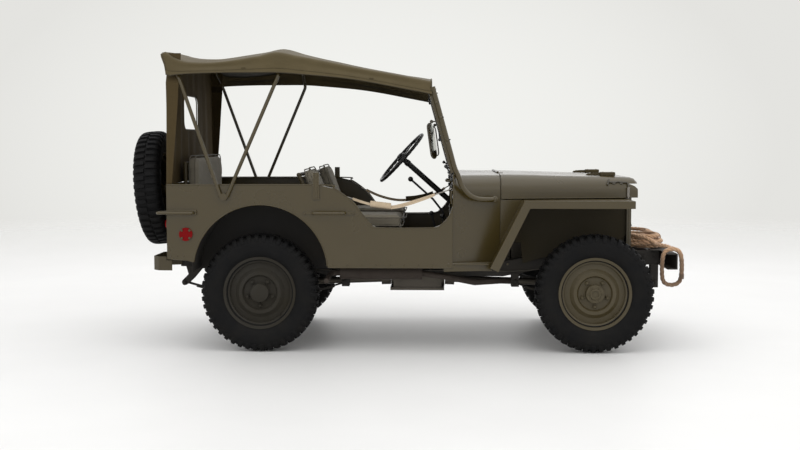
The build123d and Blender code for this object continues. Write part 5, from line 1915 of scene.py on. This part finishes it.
class FIELDCAR_OT_dash(bpy.types.Operator):
    """Builds the instrument panel with its gauges, knobs and handles, the lever boots and floor ribs"""
    bl_idname = "field_car.dash"
    bl_label = "Dashboard"

    def execute(self, context):
        panel = Shape()
        panel.plate([(-700, 968), (-660, 930), (-330, 930), (-300, 958), (300, 958), (330, 930),
                     (660, 930), (700, 968), (696, 1040), (640, 1076), (-640, 1076), (-696, 1040)],
                    "X", 171, 174)
        panel.tube([(170, -640, 932), (170, -330, 932)], 3.5, 8)
        panel.tube([(170, 330, 932), (170, 660, 932)], 3.5, 8)
        panel.block((160, -262, 984), (170, -56, 1062), 2)
        panel.tube([(150, -705, 985), (146, -706, 945), (150, -705, 905)], 7.5, 12)
        panel.tube(smooth_path([(170, -580, 1040), (128, -570, 1040), (120, -545, 1040),
                                (120, -395, 1040), (128, -370, 1040), (170, -360, 1040)], 5), 8, 12)
        panel.piece("dash_panel", "olive")
        rims = Shape()
        dials = Shape()
        marks = Shape()
        gauges = [(70, 1016, 40), (-6, 1042, 24), (-6, 986, 24), (146, 1042, 24), (146, 986, 24)]
        for y, z, radius in gauges:
            rims.lathe([(radius + 3, 0), (radius + 4, 4), (radius + 2, 8), (radius, 8),
                        (radius, 4)], (171, y, z), (-1, 0, 0), 36)
            dials.lathe([(radius, 1), (radius, 4.5), (0, 4.6)], (171, y, z), (-1, 0, 0), 32)
            ticks = [arc(y, z, radius * share, range(-30, 240, 30)) for share in (0.72, 0.9)]
            for near, far in zip(*ticks):
                marks.tube([(166, *near), (166, *far)], 1.1, 6)
            marks.tube([(165.6, y, z), (165.6, y + radius * 0.5, z + radius * 0.45)], 1.3, 6)
        knobs = [(216, 1040), (216, 990), (262, 1040), (262, 990), (308, 1044), (-40, 962)]
        for y, z in knobs:
            rims.tube([(171, y, z), (150, y, z)], 4, 10)
            dials.lathe([(0, -7), (9, -6), (11, 0), (9, 6), (0, 7)], (146, y, z), (-1, 0, 0), 18)
        for y in (-652, 652):
            rims.tube([(150, y, 1064), (136, y, 1090)], 5, 8)
            dials.lathe([(0, -9), (8, -8), (11, 0), (8, 8), (0, 9)], (134, y, 1094), (-1, 0, 1), 16)
        for section, y, z, slope in DASH_KNOBS:
            dials.lathe(section, (166, y, z), (-1, 0, slope), 18)
        rims.piece("gauge_rims", "steel")
        dials.piece("gauge_faces", "dial")
        marks.piece("gauge_marks", "pale_mark")
        self.floor()
        return {"FINISHED"}

    def floor(self):
        """Lever boots and the floor's ribs."""
        boots = Shape()
        for y in (-34, -125):
            for step in range(5):
                small = 7 * step
                boots.lathe([(0, 0), (52 - small, 0), (54 - small, 4), (48 - small, 8), (0, 8)],
                            (96 + 2 * step, y * 0.6, 630 + 7.5 * step), (-0.2, 0, 1), 28)
        boots.piece("lever_boots", "rubber_trim")
        ribs = Shape()
        for side in (1, -1):
            for y in range(190, 660, 60):
                ribs.block((-560, side * y - 9, 534), (150, side * y + 9, 537.5), 1.5)
        for y in range(-400, 420, 80):
            ribs.block((-1480, y - 10, 574), (-640, y + 10, 577.5), 1.5)
        # the ribs take the olive with painted shade
        ribs.piece("floor_ribs", "olive_inside")


def hanging_strap(shape, route, width, thick):
    """A web strap on edge along a smooth route."""
    shape.strap(smooth_path(route, 8), thick, width, (0, 0, 1))


class FIELDCAR_OT_straps(bpy.types.Operator):
    """Hangs the safety strap across each doorway, with its wrap, hooks and rings"""
    bl_idname = "field_car.straps"
    bl_label = "Safety straps"

    def execute(self, context):
        near = Shape()
        wrap = Shape()
        metal = Shape()
        y = -700
        hanging_strap(near, [(-446, y, 936), (-400, y, 920), (-337, y, 902), (-280, y, 892),
                             (-212, y, 887), (-120, y, 908), (-20, y, 939), (50, y, 962)], 15, 4)
        hanging_strap(near, [(-330, y - 5, 892), (-270, y - 6, 884), (-205, y - 5, 880),
                             (-120, y - 4, 897), (-20, y - 3, 930), (46, y - 1, 957)], 9, 4)
        for step in range(13):
            x = -334 + step * 9.6
            z = 903 - 0.115 * (x + 334)
            wrap.tube([(x, *place) for place in arc(y, z, 11, turns(18), 17)], 5.4, 8, closed=True)
        wrap.block((-336, y - 9, 887), (-216, y + 9, 913), 6, ("Y", 6.5))
        metal.tube([(48, y, 961), (86, y, 974), (124, y, 986), (140, y, 992), (150, y - 4, 1000),
                    (156, y - 2, 990)], 4, 8)
        metal.tube(smooth_path([(-446, y, 936), (-470, y - 8, 944), (-486, y - 14, 950)], 4), 4, 8)
        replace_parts(near.piece("near_strap", "webbing"), "safety_straps")
        wrap.piece("near_strap_wrap", "webbing")
        far = Shape()
        pad = Shape()
        y = 700
        hanging_strap(far, [(-446, y, 930), (-340, y, 884), (-212, y, 857), (-60, y, 868),
                            (60, y, 905), (122, y, 945)], 18, 4)
        hanging_strap(pad, [(-160, y, 866), (-90, y, 872), (-10, y, 888), (40, y, 905)], 36, 13)
        metal.tube([(122, y, 945), (146, y, 958), (156, y, 966)], 4, 8)
        metal.tube([(-446, y, 930), (-480, y + 6, 944)], 4, 8)
        far.piece("far_strap", "webbing")
        pad.piece("far_strap_pad", "olive_webbing")
        metal.piece("strap_hooks", "steel")
        return {"FINISHED"}


# ---- chassis ---------------------------------------------------------------------------
# across and height of the bends of a spring clip
U_BOLT = [(-27, 296), (-27, 372), (-14, 386), (14, 386), (27, 372), (27, 296)]


class FIELDCAR_OT_chassis(bpy.types.Operator):
    """Adds spring clips, dampers, brake hoses, joints, clamps and straps under the body"""
    bl_idname = "field_car.chassis"
    bl_label = "Chassis details"

    def execute(self, context):
        dark = Shape()
        metal = Shape()
        nuts = []
        for end in (1, -1):
            axle = end * 1016
            for side in (1, -1):
                y = side * 355
                for x in (axle - 46, axle + 46):
                    bolt = [(x, y + across, z) for across, z in U_BOLT]
                    metal.tube(bolt, 5, 8)
                    nuts += [(end, (0, 0, -1)) for end in (bolt[0], bolt[-1])]
                dark.block((axle - 62, y - 36, 290), (axle + 62, y + 36, 297), 2)
                for offset in (-250, 250):
                    dark.block((axle + offset - 9, y - 25, 318), (axle + offset + 9, y + 25, 352), 2)
                low = Vector((axle - end * 60, side * 402, 300))
                high = Vector((axle - end * 190, side * 392, 545))
                dark.tube([low, low.lerp(high, 0.45)], 19, 18)
                metal.tube([low.lerp(high, 0.42), low.lerp(high, 0.9)], 9, 12)
                dark.tube([low.lerp(high, 0.58), high], 24, 18)
                for place in (low, high):
                    dark.lathe([(0, -14), (15, -14), (17, -8), (17, 8), (15, 14), (0, 14)], place,
                               (0, 1, 0), 20)
                hose = smooth_path([(axle - end * 30, side * 300, 430), (axle - end * 50, side * 330, 452),
                                    (axle - end * 75, side * 352, 470), (axle - end * 110, side * 362, 490)],
                                   5)
                dark.tube(hose, 6, 10)
            pipe = smooth_path([(axle - 40, 430, 382), (axle - 46, 200, 386), (axle - 46, -120, 388),
                                (axle - 40, -430, 382)], 5)
            metal.tube(pipe, 3.2, 8)
            dark.lathe([(52, 0), (58, 6), (58, 12), (40, 15), (38, 22), (0, 22)],
                       (axle - end * 148, -180, 360), (-end, 0, 0), 28)
        for x in (-1180, -860, -560, -300, 20, 300):
            metal.tube([(x, -386, 470), (x, -392, 470)], 6, 8)
        metal.tube(smooth_path([(-1480, -388, 500), (-1100, -388, 520), (-620, -388, 470),
                                (200, -388, 470), (620, -388, 470), (900, -386, 520)], 5), 3.4, 8)
        dark.piece("dampers_and_hoses", "chassis")
        metal.piece("spring_bolts_and_pipes", "grimy_steel")
        repeated("spring_nuts", hexagon_bolt(), nuts, "grimy_steel", width=0.017)
        self.front_end()
        self.tow_hook()
        return {"FINISHED"}

    def front_end(self):
        """Bumper bolts, crank ring, gussets, and shackle bolts at the spring eyes."""
        metal = Shape()
        spots = []
        for side in (1, -1):
            for x, z in ((-1537, 385), (1430, 400), (-514, 405), (555, 400)):
                metal.lathe([(0, 0), (15, 0), (16, 4), (12, 10), (0, 11)], (x, side * 385, z),
                            (0, side, 0), 18)
                spots.append(((x, side * 396, z), (0, side, 0)))
            for x in (1300, 1360, 1420):
                spots.append(((x, side * 380.5, 560), (0, side, 0)))
        metal.tube([(1516, *place) for place in arc(0, 554, 30, turns(28))], 3.5, 8, closed=True)
        metal.piece("spring_pins", "chassis")
        repeated("frame_bolts", hexagon_bolt(), spots, "chassis", width=0.016)

    def tow_hook(self):
        """Latch, spring and safety rings at the towing hook."""
        metal = Shape()
        metal.tube(smooth_path([(-1640, 0, 556), (-1668, 0, 572), (-1694, 0, 560)], 5), 7, 10)
        coil = arc(0, 527, 19, [360 * step / 14 for step in range(6 * 14)])
        metal.tube([(-1620 + 0.42 * step, y, z) for step, (y, z) in enumerate(coil)], 3, 6)
        for side in (1, -1):
            ring = arc(side * 150, 520, 20, turns(24), 24)
            metal.tube([(-1574, y, z) for y, z in ring], 5, 8, closed=True)
        metal.piece("tow_hook_latch", "chassis")




# ---- finishes of the construction pieces -----------------------------------------------
NODE_FINISHES = {
    "olive": ["body_side_left", "body_side_right", "rear_panel", "cowl", "front_fenders", "grille",
              "hood", "windscreen_frame", "top_bows", "grab_handles", "spare_carrier"],
    # parts inside and under the body take the olive with painted shade
    "olive_inside": ["rear_bumperettes", "tub_floor", "rear_floor", "wheel_boxes",
                     "driver_seat_frame", "passenger_seat_frame", "rear_seat_frame"],
    # the chassis finish is partly painted shade under the body
    "chassis": ["frame", "front_bumper", "axles", "leaf_springs", "steering_knuckle_left",
                "steering_knuckle_right", "tie_rod", "pintle_hook", "fuel_tank"],
    "oily": ["gearbox", "propeller_shafts", "engine_block"],
    "rusty": ["exhaust"],
    "black": ["steering_wheel", "steering_column", "levers_and_pedals", "radiator"],
    "glass": ["windscreen_glass"],
    "clear_lens": ["headlamps"],
    "bright": ["mirrors"],
    "red_lens": ["reflectors"],
    "canvas": ["roof_canvas_front", "roof_canvas_rear", "rear_curtain"],
    "seat": ["driver_seat_cushions", "passenger_seat_cushions", "rear_seat_cushions"],
    "webbing": ["safety_straps"],
    "wood": ["hood_blocks"],
    "rope": ["rope_bundle", "rope_loop", "rope_tail"],
}


class FIELDCAR_OT_finishes(bpy.types.Operator):
    """Paints every construction piece"""
    bl_idname = "field_car.finishes"
    bl_label = "Finishes"

    def execute(self, context):
        for finish, nodes in NODE_FINISHES.items():
            for node in nodes:
                finish_node(node, finish)
        for piece in NODES.values():
            smoothed(piece.data, 32)
        return {"FINISHED"}


# ---- the add-on ------------------------------------------------------------------------
class FIELDCAR_PT_panel(bpy.types.Panel):
    """The car's settings and building steps"""
    bl_idname = "FIELDCAR_PT_panel"
    bl_label = "Army 4x4 car"
    bl_space_type = "VIEW_3D"
    bl_region_type = "UI"
    bl_category = "Field Car"

    def draw(self, context):
        layout = self.layout
        for settings in (context.scene.car_finish, context.scene.car_sizes):
            for name in settings.__annotations__:
                layout.prop(settings, name)
        for step in STEPS:
            layout.operator(step.bl_idname)


STEPS = [
    FIELDCAR_OT_stage,
    FIELDCAR_OT_rope,
    FIELDCAR_OT_finishes,
    FIELDCAR_OT_tyres,
    FIELDCAR_OT_wheels,
    FIELDCAR_OT_canvas,
    FIELDCAR_OT_body,
    FIELDCAR_OT_hood,
    FIELDCAR_OT_grille,
    FIELDCAR_OT_windscreen,
    FIELDCAR_OT_seats,
    FIELDCAR_OT_steering,
    FIELDCAR_OT_dash,
    FIELDCAR_OT_straps,
    FIELDCAR_OT_chassis,
]
CLASSES = [CarFinish, CarSizes, *STEPS, FIELDCAR_PT_panel]


def register():
    for kind in CLASSES:
        bpy.utils.register_class(kind)
    bpy.types.Scene.car_finish = PointerProperty(type=CarFinish)
    bpy.types.Scene.car_sizes = PointerProperty(type=CarSizes)


def unregister():
    del bpy.types.Scene.car_sizes
    del bpy.types.Scene.car_finish
    for kind in reversed(CLASSES):
        bpy.utils.unregister_class(kind)


def main():
    register()
    for step in STEPS:
        group, name = step.bl_idname.split(".")
        getattr(getattr(bpy.ops, group), name)()


if __name__ == "__main__":
    main()
